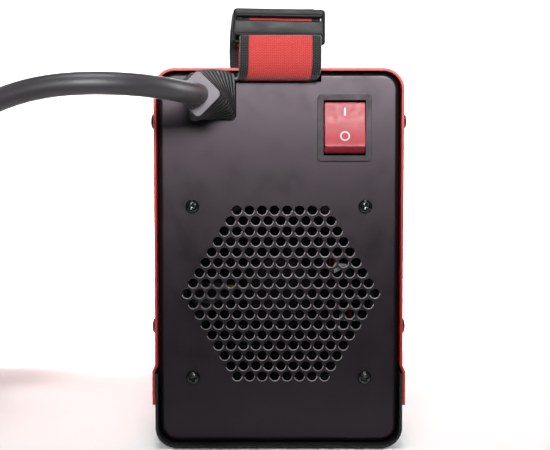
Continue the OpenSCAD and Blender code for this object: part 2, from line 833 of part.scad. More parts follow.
// LED: round body through the panel with a rim behind it and its legs to the board.
module led(x) {
    cyl_y(led_d / 2, front_face - panel_t - 4, panel_t + 5.4, x, led_z);
    cyl_y(led_d / 2 + 0.5, front_face - panel_t - 5, 1.2, x, led_z);
    for (leg = [-1.27, 1.27])
        translate([x + leg - 0.25, front_board_y + board_t, led_z - 0.25])
            cube([0.5, front_face - panel_t - 5 - front_board_y - board_t + 0.2, 0.5]);
}

module power_led() { color([0.1, 0.7, 0.2]) led(-led_x); }

module fault_led() { color([0.9, 0.6, 0.1]) led(led_x); }

module socket_insulators() {
    color([0.08, 0.08, 0.08]) for (side = [-1, 1]) difference() {
        union() {
            cyl_y(insul_flange_d / 2, front_face, insul_flange_t, side * socket_x, socket_z);
            cyl_y(insul_body_d / 2, front_face - panel_t - insul_body_l,
                panel_t + insul_body_l + 1, side * socket_x, socket_z);
        }
        cyl_y(brass_d / 2, brass_back, 80, side * socket_x, socket_z);
        translate([side * socket_x - 2, front_face + insul_flange_t - 3, socket_z + brass_d / 2 - 1])
            cube([4, 5, 3.5]);
    }
}

// Brass half of an output socket, with its keyed bore and threaded stud.
module brass_socket(x) {
    color([0.78, 0.62, 0.28]) difference() {
        union() {
            cyl_y(brass_d / 2, brass_back, brass_front - brass_back, x, socket_z);
            cyl_y(stud_d / 2, brass_back - stud_l, stud_l + 1, x, socket_z);
        }
        cyl_y(socket_bore_d / 2, brass_front - socket_bore_l, socket_bore_l + 1, x, socket_z);
        translate([x - 1.3, brass_front - 9, socket_z]) cube([2.6, 10, socket_bore_d / 2 + 1.4]);
    }
}

module output_socket_positive() { brass_socket(socket_x); }

module output_socket_negative() { brass_socket(-socket_x); }

module socket_nuts() {
    color([0.78, 0.62, 0.28]) for (side = [-1, 1]) difference() {
        translate([side * socket_x, brass_back - bus_t - nut_t, socket_z]) rotate([-90, 0, 0])
            cylinder(d = nut_af / cos(30), h = nut_t, $fn = 6);
        cyl_y(stud_d / 2, brass_back - bus_t - nut_t - 1, nut_t + 2, side * socket_x, socket_z);
    }
}

// Bent copper strip from a socket's stud down to the board.
module busbar(x) {
    y = brass_back - bus_t;
    foot = bus_end_y;
    color([0.78, 0.45, 0.3]) difference() {
        union() {
            translate([x - 9, y, board_top]) cube([18, bus_t, socket_z + 9 - board_top]);
            translate([x - 9, foot, board_top]) cube([18, y + bus_t - foot, bus_t]);
        }
        cyl_y(stud_d / 2, y - 1, bus_t + 2, x, socket_z);
        translate([x, foot + 7, board_top - 1]) cylinder(r = 2.2, h = bus_t + 2);
    }
}

module busbar_positive() { busbar(socket_x); }

module busbar_negative() { busbar(-socket_x); }

module control_board() {
    color([0.1, 0.35, 0.2]) difference() {
        union() {
            along_y(front_board_y, board_t) translate([0, knob_z + 2])
                square([front_board_w, front_board_h], center = true);
            for (i = [0:3])
                translate([-36 + i * 20, front_board_y - 3, knob_z - 30]) cube([9, 3.1, 6]);
            translate([-40, front_board_y - 8, knob_z + 22]) cube([22, 8.1, 7]);
            translate([16, front_board_y - 5, knob_z + 20]) cube([14, 5.1, 14]);
        }
        cyl_y(pot_bush_d / 2 + 0.1, front_board_y - 1, 4, 0, knob_z);
        for (sx = [-1, 1], sz = [-1, 1])
            cyl_y(1.6, front_board_y - 1, 4, sx * post_x, knob_z + 2 + sz * post_z);
    }
}

module control_standoffs() {
    gap = front_face - panel_t - front_board_y - board_t;
    color([0.75, 0.75, 0.75]) for (sx = [-1, 1], sz = [-1, 1])
        translate([sx * post_x, front_board_y + board_t, knob_z + 2 + sz * post_z])
            rotate([-90, 0, 0]) {
                cylinder(d = 6, h = gap, $fn = 6);
                translate([0, 0, -board_t - 2]) cylinder(r = 1.5, h = 4);
                translate([0, 0, -board_t - 2.2]) cylinder(r = 2.8, h = 2.2);
            }
}

// ---------- power electronics ----------

module main_board() {
    color([0.1, 0.35, 0.2]) difference() {
        translate([-board_w / 2, board_y0, board_z]) cube([board_w, board_l, board_t]);
        for (x = [-standoff_x, standoff_x], y = standoff_ys)
            translate([x, y, board_z - 1]) cylinder(r = 1.6, h = 4);
    }
}

module board_standoffs() {
    low = sheet_t + insul_t;
    color([0.75, 0.75, 0.75]) for (x = [-standoff_x, standoff_x], y = standoff_ys) difference() {
        translate([x, y, low]) cylinder(d = 6, h = board_z - low, $fn = 6);
        translate([x, y, board_z - 6]) cylinder(r = 1.5, h = 8);
    }
}

module board_screws() {
    color([0.75, 0.75, 0.75]) for (x = [-standoff_x, standoff_x], y = standoff_ys)
        translate([x, y, board_top]) {
            cylinder(r = 2.8, h = 2.2);
            translate([0, 0, -6]) cylinder(r = 1.5, h = 7);
        }
}

module insulation_sheet() {
    color([0.85, 0.8, 0.6]) difference() {
        translate([-insul_w / 2, board_y0, sheet_t]) cube([insul_w, board_l, insul_t]);
        for (x = [-standoff_x, standoff_x], y = standoff_ys)
            translate([x, y, 0]) cylinder(r = 1.5, h = 5);
    }
}

// Finned extrusion: upright back plate at x = 0, fins towards -x.
module heatsink() {
    translate([0, sink_y0, board_top]) {
        translate([-4, 0, 0]) cube([4, sink_l, sink_h]);
        for (i = [0:fins])
            translate([-sink_w, 0, i * (sink_h - 1.6) / fins]) cube([sink_w - 3.9, sink_l, 1.6]);
    }
}

module heatsink_left() {
    color([0.72, 0.73, 0.75]) translate([-sink_x + sink_w, 0, 0]) heatsink();
}

module heatsink_right() {
    color([0.72, 0.73, 0.75]) mirror([1, 0, 0]) translate([-sink_x + sink_w, 0, 0]) heatsink();
}

// Flat power package against a heatsink's plate, legs down to the board.
module power_package(y) {
    translate([0, y, board_top + 8]) {
        cube([4.8, 15.5, 20]);
        for (leg = [2, 7.2, 12.4])
            translate([2, leg, -8]) cube([0.8, 1.2, 8.2]);
    }
}

module power_transistors() {
    x = -sink_x + sink_w;
    color([0.1, 0.1, 0.1]) for (y = [sink_y0 + 4, sink_y0 + 24]) {
        translate([x, 0, 0]) power_package(y);
        mirror([1, 0, 0]) translate([x, 0, 0]) power_package(y);
    }
}

module output_diodes() {
    x = -sink_x + sink_w;
    color([0.1, 0.1, 0.1]) {
        translate([x, 0, 0]) power_package(sink_y0 + 44);
        mirror([1, 0, 0]) translate([x, 0, 0]) power_package(sink_y0 + 44);
    }
}

module bridge_rectifier() {
    color([0.15, 0.15, 0.16]) difference() {
        translate([5 - board_w / 2, board_y0 + 12, board_top]) cube([12, 28, 26]);
        cyl_x(2, -board_w / 2, 20, board_y0 + 26, board_top + 15);
    }
}

module bulk_capacitors() {
    color([0.15, 0.2, 0.35]) for (x = [-16, 17])
        translate([x, cap_y, board_top]) difference() {
            cylinder(r = cap_r, h = cap_h);
            translate([0, 0, cap_h - 1]) cylinder(r = cap_r - 2, h = 2);
        }
}

module transformer_core() {
    leg = core_w * 0.22;
    color([0.2, 0.2, 0.22]) translate([0, core_y, board_top + 1]) {
        for (side = [-1, 1])
            translate([side * (core_w - leg) / 2 - leg / 2, -9, 0]) cube([leg, 18, core_h]);
        for (z = [0, core_h - leg])
            translate([-core_w / 2, -9, z]) cube([core_w, 18, leg]);
        cylinder(r = 6, h = core_h);
    }
}

module transformer_windings() {
    leg = core_w * 0.22;
    color([0.75, 0.5, 0.2]) translate([0, core_y, board_top + 1 + leg + 0.6]) difference() {
        cylinder(r = core_w / 2 - leg - 0.6, h = core_h - 2 * leg - 1.2);
        translate([0, 0, -1]) cylinder(r = 6.4, h = core_h);
    }
}

// Wound ring standing on the board.
module wound_ring(outer, inner, thick) {
    wall = outer - inner;
    rotate_extrude() translate([inner + wall / 2, 0])
        round_rect(wall, thick, min(3, wall / 2 - 0.5));
}

module output_choke() {
    color([0.7, 0.4, 0.2]) translate([0, choke_y, board_top + 21]) rotate([90, 0, 0])
        wound_ring(20, 9, 16);
}

module filter_choke() {
    color([0.2, 0.4, 0.3]) translate([board_w / 2 - 10.5, board_y0 + 22, board_top + 7])
        wound_ring(9.5, 4, 13);
}

module inrush_relay() {
    color([0.9, 0.9, 0.88]) translate([board_w / 2 - 20, cap_y + 14, board_top]) cube([19, 9, 20]);
}

module switch_leads() {
    y0 = rear_face + 29;
    color([0.5, 0.1, 0.1]) for (i = [0, 1]) {
        x = switch_x + (i == 0 ? -5 : 5);
        tube([
            [x, y0, switch_z + 5.2], [x, y0 + 2, switch_z + 5.2],
            [x, y0 + 5, switch_z + 3], [x, y0 + 8, switch_z - 4],
            [x, y0 + 9, switch_z - 24], [x, y0 + 9, 90], [x, y0 + 9, board_top]
        ], 1.4, 8, [1, 0, 0]);
    }
}

module earth_screw() {
    color([0.78, 0.62, 0.28]) translate([-30, rear_y + 29, sheet_t]) {
        cylinder(d = 7 / cos(30), h = 3.2, $fn = 6);
        cylinder(r = 2, h = 10);
    }
}

// ---------- one line per piece ----------

base_tray();
cover();
rear_panel();
front_panel();
cover_screws();
tray_screws();
fan_frame();
fan_stator();
fan_bearing();
fan_rotor();
fan_shaft();
fan_screws();
fan_nuts();
switch_housing();
switch_rocker();
switch_terminals();
strain_relief();
mains_cord();
mains_cord_coil();
cord_tail();
cord_tie();
mains_plug();
plug_pins();
carry_strap();
strap_buckle_rear();
strap_buckle_front();
scale_plate();
control_knob();
knob_cap();
potentiometer();
potentiometer_shaft();
potentiometer_nut();
power_led();
fault_led();
socket_insulators();
output_socket_positive();
output_socket_negative();
socket_nuts();
busbar_positive();
busbar_negative();
control_board();
control_standoffs();
main_board();
board_standoffs();
board_screws();
insulation_sheet();
heatsink_left();
heatsink_right();
power_transistors();
output_diodes();
bridge_rectifier();
bulk_capacitors();
transformer_core();
transformer_windings();
output_choke();
filter_choke();
inrush_relay();
switch_leads();
earth_screw();
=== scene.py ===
"""Stick welding inverter seen from the rear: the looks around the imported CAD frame.

Everything is in metres in the CAD's own frame: X right, -Y towards the viewer of the rear
panel, Z up. MM turns millimetres into metres.
"""
import json
import math
import random

import bmesh
import bpy
from mathutils import Matrix, Vector


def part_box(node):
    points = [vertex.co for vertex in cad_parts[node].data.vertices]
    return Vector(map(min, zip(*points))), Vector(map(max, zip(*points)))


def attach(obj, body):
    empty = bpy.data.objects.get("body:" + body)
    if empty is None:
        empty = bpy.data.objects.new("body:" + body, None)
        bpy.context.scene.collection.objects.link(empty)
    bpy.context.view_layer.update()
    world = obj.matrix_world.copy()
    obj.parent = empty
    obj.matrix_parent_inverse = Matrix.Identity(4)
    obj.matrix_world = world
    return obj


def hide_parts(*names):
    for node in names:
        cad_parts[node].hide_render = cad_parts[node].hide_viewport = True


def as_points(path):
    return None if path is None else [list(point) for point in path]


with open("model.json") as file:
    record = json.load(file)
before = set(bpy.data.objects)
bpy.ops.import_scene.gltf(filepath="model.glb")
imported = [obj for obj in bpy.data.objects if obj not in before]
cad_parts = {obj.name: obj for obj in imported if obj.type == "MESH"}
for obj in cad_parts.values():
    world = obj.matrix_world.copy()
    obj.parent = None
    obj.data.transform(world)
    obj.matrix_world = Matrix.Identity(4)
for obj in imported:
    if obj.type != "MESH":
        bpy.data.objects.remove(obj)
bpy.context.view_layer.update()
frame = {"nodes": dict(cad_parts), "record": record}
MM = 0.001
NODES = frame["nodes"]
TAU = 2 * math.pi


# ---- camera

def make_camera():
    """The photograph's view: level with the mains switch, looking a little down."""
    data = bpy.data.cameras.new("view")
    data.sensor_width = 36
    data.lens = 83.3
    data.clip_start = 0.05
    data.clip_end = 30
    camera = bpy.data.objects.new("view", data)
    camera.location = Vector((-1.8, -735, 151.8)) * MM
    camera.rotation_euler = (math.radians(90 - 4.25), 0, 0)
    bpy.context.scene.collection.objects.link(camera)
    bpy.context.scene.camera = camera


make_camera()


# ---- mesh helpers

def link(name, mesh, material):
    """A new object in the scene with the mesh and one material, given by name."""
    piece = bpy.data.objects.new(name, mesh)
    bpy.context.scene.collection.objects.link(piece)
    mesh.materials.append(MATS[material])
    return piece


def from_bmesh(name, bm, material, smooth=40):
    """A piece from a bmesh, shaded smooth up to the given angle."""
    bmesh.ops.recalc_face_normals(bm, faces=bm.faces)
    mesh = bpy.data.meshes.new(name)
    bm.to_mesh(mesh)
    bm.free()
    piece = link(name, mesh, material)
    shade(piece, smooth)
    return piece


def shade(piece, angle):
    """Smooth shading, with edges sharper than the angle kept sharp; none at zero."""
    mesh = piece.data
    if angle > 0:
        mesh.shade_smooth()
        if angle < 180:
            mesh.set_sharp_from_angle(angle=math.radians(angle))


def apply_modifiers(piece):
    """Bakes the piece's modifiers into its mesh."""
    graph = bpy.context.evaluated_depsgraph_get()
    done = bpy.data.meshes.new_from_object(piece.evaluated_get(graph))
    piece.modifiers.clear()
    old = piece.data
    piece.data = done
    bpy.data.meshes.remove(old)


def weld(bm):
    """Joins verts that lie on each other."""
    bmesh.ops.remove_doubles(bm, verts=bm.verts, dist=0.001 * MM)


def stand_for(piece, body, slot, *nodes):
    """The piece rides on a body and replaces CAD nodes, which it hides; the slot is not used."""
    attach(piece, body)
    if nodes:
        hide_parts(*nodes)
    return piece


def bridge(bm, rows, closed=True):
    """Faces between rows of verts; a closed row's last vert joins its first."""
    count = len(rows[0])
    faces = []
    for a, b in zip(rows, rows[1:]):
        for k in range(count if closed else count - 1):
            n = (k + 1) % count
            faces.append(bm.faces.new((a[k], a[n], b[n], b[k])))
    return faces


def skin(bm, rings, closed=True, capped=True):
    """Faces between rings of points, and over the first and last ring."""
    rows = [[bm.verts.new(p) for p in ring] for ring in rings]
    bridge(bm, rows, closed)
    if capped:
        bm.faces.new(list(reversed(rows[0])))
        bm.faces.new(rows[-1])
    return rows


def circle(place, radius, height, steps):
    """Points round the place's Z axis, in mm; height is a function of the angle."""
    angles = [TAU * k / steps for k in range(steps)]
    return [place @ (Vector((radius * math.cos(a), radius * math.sin(a), height(a))) * MM)
            for a in angles]


def turned(bm, profile, place, steps, closed=False):
    """A turned shape: profile is (radius, height) pairs in mm, place maps it into the frame."""
    rings = [circle(place, r, lambda a, h=h: h, steps) for r, h in profile]
    return skin(bm, rings, capped=not closed)


def facing(origin, z_axis, x_hint=(1, 0, 0)):
    """A matrix whose Z runs along z_axis from origin, with X near x_hint."""
    z = Vector(z_axis).normalized()
    x = Vector(x_hint)
    x = (x - z * x.dot(z)).normalized()
    y = z.cross(x)
    m = Matrix((x, y, z)).transposed().to_4x4()
    m.translation = Vector(origin)
    return m


def catmull(points, steps):
    """A smooth curve through the points, with the given number of steps for each gap."""
    pts = [Vector(p) for p in points]
    ends = [2 * pts[0] - pts[1]] + pts + [2 * pts[-1] - pts[-2]]
    line = []
    for i in range(1, len(ends) - 2):
        a, b, c, d = ends[i - 1:i + 3]
        for k in range(steps):
            t = k / steps
            line.append(0.5 * (2 * b + (c - a) * t + (2 * a - 5 * b + 4 * c - d) * t * t
                               + (3 * b - a - 3 * c + d) * t ** 3))
    line.append(pts[-1])
    return line


def around(point, radius, side, up, sides):
    """Points of a circle about a point, in the plane of two directions."""
    return [point + radius * (math.cos(TAU * k / sides) * side + math.sin(TAU * k / sides) * up)
            for k in range(sides)]


def tube_mesh(name, line, radius, sides, material):
    """A closed tube along a line, with frames carried along so that it never twists."""
    bm = bmesh.new()
    tangents = []
    for i in range(len(line)):
        a, b = line[max(i - 1, 0)], line[min(i + 1, len(line) - 1)]
        tangents.append((b - a).normalized())
    side = tangents[0].orthogonal().normalized()
    rings = []
    for point, tangent in zip(line, tangents):
        side = (side - tangent * side.dot(tangent)).normalized()
        rings.append(around(point, radius, side, tangent.cross(side), sides))
    skin(bm, rings)
    return from_bmesh(name, bm, material, 180)


def smoothstep(t):
    """Eased 0 to 1."""
    t = min(max(t, 0.0), 1.0)
    return t * t * (3 - 2 * t)


# ---- materials

MATS = {}


class Nodes:
    """Builds one procedural material around a Principled shader, and enters it in MATS."""

    def __init__(self, name, color, rough, metal=0.0, spec=0.5, coat=0.0, coat_rough=0.2,
                 sheen=0.0, transmission=0.0):
        material = MATS[name] = bpy.data.materials.new(name)
        material.use_nodes = True
        material.diffuse_color = (*color, 1)
        self.tree = material.node_tree
        self.tree.nodes.clear()
        self.shader = self.add(
            "BsdfPrincipled", Base_Color=(*color, 1), Roughness=rough, Metallic=metal,
            Specular_IOR_Level=spec, Coat_Weight=coat, Coat_Roughness=coat_rough,
            Sheen_Weight=sheen, Transmission_Weight=transmission, IOR=1.5)
        self.link(self.shader.outputs[0], self.add("OutputMaterial").inputs[0])
        self.coords = self.add("TexCoord")
        self.bump = None

    def add(self, kind, **values):
        """A new shader node with values for its inputs, whose spaces are written as _."""
        node = self.tree.nodes.new("ShaderNode" + kind)
        for key, value in values.items():
            node.inputs[key.replace("_", " ")].default_value = value
        return node

    def link(self, a, b):
        """Joins an output to an input."""
        self.tree.links.new(a, b)

    def feed(self, socket, value):
        """Links an output to a socket, or gives the socket a plain value."""
        if isinstance(value, bpy.types.NodeSocket):
            self.link(value, socket)
        else:
            socket.default_value = value

    def place(self, stretch=(1, 1, 1), space="Object"):
        """Object coordinates in metres, or the piece's own UV, stretched."""
        mapping = self.add("Mapping", Scale=stretch)
        self.link(self.coords.outputs[space], mapping.inputs[0])
        return mapping.outputs[0]

    def noise(self, size_mm, detail=3, stretch=(1, 1, 1)):
        """Fractal noise whose features are about size_mm across."""
        node = self.add("TexNoise", Scale=1 / (size_mm * MM), Detail=detail, Roughness=0.55)
        self.link(self.place(stretch), node.inputs["Vector"])
        return node.outputs["Fac"]

    def ramp(self, value, low, high, out_low=0.0, out_high=1.0):
        """Maps a value's range onto another, clamped."""
        node = self.add("MapRange", From_Min=low, From_Max=high, To_Min=out_low, To_Max=out_high)
        self.link(value, node.inputs["Value"])
        return node.outputs[0]

    def math(self, kind, a, b=0.5):
        """Arithmetic on one value or two; kinds that take one ignore the second."""
        node = self.add("Math")
        node.operation = kind
        self.feed(node.inputs[0], a)
        self.feed(node.inputs[1], b)
        return node.outputs[0]

    def mix(self, factor, a, b):
        """Colour a where the factor is 0 and b where it is 1."""
        node = self.add("Mix")
        node.data_type = "RGBA"
        self.link(factor, node.inputs["Factor"])
        for socket, value in ((node.inputs[6], a), (node.inputs[7], b)):
            self.feed(socket, (*value, 1) if isinstance(value, tuple) else value)
        return node.outputs[2]

    def color(self, value):
        """Feeds the base colour."""
        self.link(value, self.shader.inputs["Base Color"])

    def tones(self, value, low, high, first, second):
        """Base colour that goes from one tone to another over a value's range."""
        self.color(self.mix(self.ramp(value, low, high), first, second))

    def rough(self, value, low, high):
        """Roughness that goes from low to high over a noise's middle range."""
        self.link(self.ramp(value, 0.3, 0.7, low, high), self.shader.inputs["Roughness"])

    def relief(self, height, depth_mm, strength):
        """Adds bump of the given depth on top of what is there."""
        node = self.add("Bump", Strength=strength, Distance=depth_mm * MM)
        self.link(height, node.inputs["Height"])
        if self.bump is not None:
            self.link(self.bump, node.inputs["Normal"])
        self.bump = node.outputs[0]
        self.link(self.bump, self.shader.inputs["Normal"])

    def edges(self):
        """Where the surface is convex, from the geometry's pointiness."""
        return self.ramp(self.add("NewGeometry").outputs["Pointiness"], 0.52, 0.62)


def shift(color, amount):
    """The colour made lighter (above 1) or darker (below 1)."""
    return tuple(min(1.0, c * amount) for c in color)


def powder_coat(name, color, rough, grain_mm=0.9, depth=0.02, spec=0.4):
    """Sprayed powder paint: orange peel, faint clouding and dust of a finer grain."""
    n = Nodes(name, color, rough, spec=spec)
    base = n.mix(n.ramp(n.noise(38), 0.35, 0.65), shift(color, 0.95), shift(color, 1.05))
    n.color(n.mix(n.ramp(n.noise(0.35, 2), 0.42, 0.7, 0, 0.35), base, shift(color, 1.5)))
    n.rough(n.noise(9, 4), rough - 0.05, rough + 0.06)
    n.relief(n.noise(grain_mm, 2), depth, 0.6)
    n.relief(n.noise(grain_mm * 0.28, 2), depth * 0.3, 0.5)


def moulded(name, color, rough=0.5, grain_mm=0.25, depth=0.012, spec=0.45):
    """Moulded plastic or rubber: fine spark-erosion grain, faint flow marks and a painted
    highlight along convex edges.
    """
    n = Nodes(name, color, rough, spec=spec)
    flow = n.noise(14, 3, (1, 1, 0.4))
    base = n.mix(n.ramp(flow, 0.3, 0.7), shift(color, 0.85), shift(color, 1.15))
    # Painted highlight: convex edges, found from pointiness, are lightened up to 2.2 times in the
    # base colour.
    n.color(n.mix(n.ramp(n.edges(), 0, 1, 0, 0.35), base, shift(color, 2.2)))
    n.rough(n.noise(5), rough - 0.06, rough + 0.07)
    n.relief(n.noise(grain_mm, 2), depth, 0.7)


def machined(name, color, rough, stretch=(1, 30, 1), line_mm=9.0):
    """Metal with the fine parallel lines of turning, drawing or extruding."""
    n = Nodes(name, color, rough, metal=1.0)
    lines = n.noise(line_mm, 3, stretch)
    n.tones(n.noise(6, 4), 0.4, 0.75, color, shift(color, 0.72))
    n.rough(lines, rough - 0.08, rough + 0.12)
    n.relief(lines, 0.006, 0.6)


def lens(name, color):
    """A translucent coloured lens."""
    n = Nodes(name, color, 0.12, spec=0.6, transmission=0.35, coat=0.4, coat_rough=0.05)
    n.tones(n.noise(2, 2), 0.3, 0.7, shift(color, 0.8), shift(color, 1.15))
    n.relief(n.noise(0.9, 2), 0.004, 0.4)


# Each family's arguments after the name, in the order of its function.
FAMILIES = {
    powder_coat: {
        "cover_paint": ((0.5, 0.032, 0.026), 0.42),
        "tray_paint": ((0.012, 0.0115, 0.013), 0.46),
        "panel_paint": ((0.009, 0.0068, 0.009), 0.34, 0.7, 0.01),
        # Pale grey for the lower arcs of the vent hole rims: a painted highlight of the light from
        # above on the black panel's rolled edges.
        "rim_paint": ((0.38, 0.35, 0.365), 0.3, 0.5, 0.004, 0.7),
    },
    moulded: {
        "black_screw": ((0.006, 0.006, 0.0065), 0.22, 0.6, 0.01, 0.7),
        "black_plastic": ((0.02, 0.02, 0.021),),
        "fan_plastic": ((0.0028, 0.0024, 0.0028), 0.55, 0.25, 0.012, 0.04),
        "black_rubber": ((0.022, 0.021, 0.023), 0.52, 0.4, 0.02),
        "boot_rubber": ((0.02, 0.018, 0.02), 0.42, 0.4, 0.012, 0.3),
        # The boot's own black rubber painted about ten times lighter: painted sheen for the end
        # face that faces the lights.
        "boot_face": ((0.2, 0.18, 0.2), 0.5, 0.3, 0.015, 0.5),
        "gloss_black": ((0.007, 0.006, 0.007), 0.36, 0.8, 0.006, 0.12),
        "knob_black": ((0.018, 0.018, 0.019), 0.45),
        "knob_red": ((0.55, 0.03, 0.02), 0.4),
        "pot_body": ((0.06, 0.06, 0.065),),
        "chip_black": ((0.02, 0.02, 0.021), 0.6, 0.18, 0.02),
        "ferrite": ((0.045, 0.045, 0.048), 0.65, 0.3, 0.03),
        "relay_white": ((0.7, 0.7, 0.66), 0.42),
        "wire_red": ((0.03, 0.003, 0.003), 0.5, 0.6, 0.006, 0.15),
        "mark_white": ((0.66, 0.42, 0.44), 0.35, 0.4, 0.004),
        "scale_film": ((0.3, 0.3, 0.31), 0.4, 0.2, 0.004, 0.3),
        "scale_dark": ((0.03, 0.03, 0.032), 0.35, 0.2, 0.004),
        "capacitor_sleeve": ((0.004, 0.0045, 0.009), 0.4, 3.0, 0.02, 0.2),
    },
    machined: {
        "copper": ((0.83, 0.42, 0.25), 0.28, (1, 1, 30)),
        "brass": ((0.8, 0.6, 0.28), 0.26),
        "steel": ((0.62, 0.62, 0.63), 0.3),
        "tin_plate": ((0.72, 0.71, 0.68), 0.24),
        "heatsink_metal": ((0.75, 0.76, 0.77), 0.36, (1, 0.03, 1), 0.8),
    },
    lens: {
        "green_lens": ((0.03, 0.55, 0.1),),
        "amber_lens": ((0.85, 0.4, 0.03),),
    },
}
# Purplish shine of the rear panel and the switch's bezel
SHINE_TINT = (1.0, 0.84, 0.95, 1.0)


def make_materials():
    """Enters every material of the machine."""
    for make, family in FAMILIES.items():
        for name, settings in family.items():
            make(name, *settings)
    for make in (cord_rubber, rocker_red, webbing, tie_fabric, circuit_board, fish_paper,
                 enamelled_wire):
        make()
    for name in ("panel_paint", "black_plastic"):
        shader = MATS[name].node_tree.nodes["Principled BSDF"]
        shader.inputs["Specular Tint"].default_value = SHINE_TINT


def cord_rubber():
    """Smooth extruded rubber sheath, a little dusty, with a faint waviness."""
    n = Nodes("cord_rubber", (0.03, 0.027, 0.031), 0.46, spec=0.7)
    n.tones(n.noise(22, 4), 0.35, 0.7, (0.032, 0.029, 0.033), (0.05, 0.046, 0.051))
    n.rough(n.noise(7, 4), 0.42, 0.5)
    n.relief(n.noise(1.2), 0.02, 0.5)


def rocker_red():
    """Clear red plastic over a lamp window: depth and a slight swirl."""
    n = Nodes("rocker_red", (0.44, 0.045, 0.062), 0.4, spec=0.35)
    swirl = n.noise(7, 3, (1, 1, 0.6))
    n.tones(swirl, 0.35, 0.65, (0.4, 0.04, 0.056), (0.47, 0.05, 0.068))
    n.rough(n.noise(3), 0.36, 0.46)
    n.relief(n.noise(1.6, 2), 0.006, 0.5)
    n.shader.inputs["Subsurface Weight"].default_value = 0.12
    n.shader.inputs["Subsurface Radius"].default_value = (0.004, 0.0008, 0.0008)


def webbing():
    """Coarse red webbing with black selvedges. U is across in strap widths, V along in metres."""
    n = Nodes("webbing", (0.72, 0.045, 0.03), 0.72, spec=0.25, sheen=0.35)
    n.shader.inputs["Sheen Roughness"].default_value = 0.4
    split = n.add("SeparateXYZ")
    n.link(n.place(space="UV"), split.inputs[0])
    u, v = split.outputs[0], split.outputs[1]
    yarns, pick_mm = 40, 1.15
    across = n.math("MULTIPLY", u, yarns)
    along = n.math("MULTIPLY", v, 1 / (pick_mm * MM))
    lean = n.math("MULTIPLY", n.math("PINGPONG", across, 1.0), 0.9)
    pick = n.math("SINE", n.math("MULTIPLY", n.math("ADD", along, lean), TAU))
    warp = n.math("ABSOLUTE", n.math("SINE", n.math("MULTIPLY", across, math.pi)))
    yarn = n.math("MULTIPLY", n.math("ADD", n.math("MULTIPLY", pick, 0.5), 0.5), warp)
    fuzz = n.noise(0.22)
    red = n.mix(n.ramp(yarn, 0.0, 0.85), (0.42, 0.026, 0.024), (0.58, 0.07, 0.062))
    red = n.mix(n.ramp(fuzz, 0.5, 0.75, 0, 0.3), red, (0.66, 0.12, 0.1))
    dark = n.mix(n.ramp(yarn, 0.0, 0.85), (0.006, 0.006, 0.006), (0.045, 0.043, 0.046))
    middle = n.math("ABSOLUTE", n.math("SUBTRACT", u, 0.5))
    n.tones(n.math("ADD", middle, n.math("MULTIPLY", pick, 0.004)), 0.383, 0.389, red, dark)
    n.rough(fuzz, 0.62, 0.82)
    n.relief(n.math("ADD", yarn, n.math("MULTIPLY", fuzz, 0.35)), 0.16, 0.9)


def tie_fabric():
    """Hook-and-loop band: a matted pile."""
    n = Nodes("tie_fabric", (0.02, 0.02, 0.02), 0.9, spec=0.2, sheen=0.5)
    pile = n.noise(0.5, 4)
    n.tones(pile, 0.35, 0.7, (0.008, 0.008, 0.008), (0.06, 0.06, 0.06))
    n.rough(pile, 0.8, 0.98)
    n.relief(pile, 0.25, 1.0)


def circuit_board():
    """Green solder mask over tracks."""
    n = Nodes("board_green", (0.02, 0.16, 0.06), 0.32, coat=0.3)
    tracks = n.add("TexBrick", Scale=260, Mortar_Size=0.03)
    n.link(n.place(), tracks.inputs["Vector"])
    lines = n.ramp(tracks.outputs["Fac"], 0.2, 0.8)
    base = n.mix(lines, (0.012, 0.13, 0.045), (0.05, 0.27, 0.1))
    n.color(n.mix(n.ramp(n.noise(12), 0.4, 0.7, 0, 0.3), base, (0.01, 0.1, 0.035)))
    n.rough(n.noise(4), 0.26, 0.42)
    n.relief(lines, 0.03, 0.6)


def fish_paper():
    """Pale insulating card with long fibres."""
    n = Nodes("fish_paper", (0.74, 0.66, 0.46), 0.8, spec=0.25)
    fibre = n.noise(4, 4, (1, 0.2, 1))
    n.tones(fibre, 0.35, 0.7, (0.64, 0.55, 0.36), (0.8, 0.73, 0.54))
    n.rough(fibre, 0.72, 0.88)
    n.relief(fibre, 0.02, 0.6)


def enamelled_wire():
    """Copper wire under clear varnish."""
    n = Nodes("winding", (0.6, 0.22, 0.08), 0.25, metal=0.85, coat=0.5, coat_rough=0.1)
    n.tones(n.noise(5), 0.35, 0.7, (0.5, 0.16, 0.05), (0.74, 0.33, 0.14))
    n.rough(n.noise(2), 0.18, 0.34)
    n.relief(n.noise(0.6, 2), 0.01, 0.5)


make_materials()


# ---- mains lead

CORD_R = 4.75
EXIT = (-36, -168, 168)
COIL_X, COIL_Y = -250, -60
COIL_OUT, COIL_IN = 53, 43.5
PITCH = 2 * CORD_R
TIE_TURN, TIE_LIFT = math.pi, 1.5
CORD_ROUTE = [
    EXIT, (-37.8, -179.3, 168), (-42.2, -190.2, 168.5), (-49, -199.2, 169.5),
    (-58, -206, 170.5), (-68.5, -210.2, 171), (-80, -212, 171), (-93, -211.5, 170),
    (-106, -209.5, 167.5), (-119, -207, 163), (-132, -203, 156.5), (-145, -199, 147),
    (-157, -195, 134), (-167, -191, 117.5), (-175, -187, 99), (-182, -183, 79.5),
    (-188, -178, 60), (-192.5, -170.5, 41.5), (-195.5, -159, 25.5), (-197, -144, 14),
    (-197, -127, 7.2), (-197, -108, 4.75), (-197, -88, 4.75),
]
# Each turn's radius and layer; a turn eases into the next over its last part.
TURNS = [(COIL_OUT, 0), (COIL_IN, 0), (COIL_IN, 1), (COIL_OUT, 1), (COIL_OUT, 2)]
EASE = 0.12
PLUG_AT = (-197, 2, 18.5)
TAIL_ROUTE = [(-197, -40, 23.2), (-197, -18, 20), PLUG_AT]


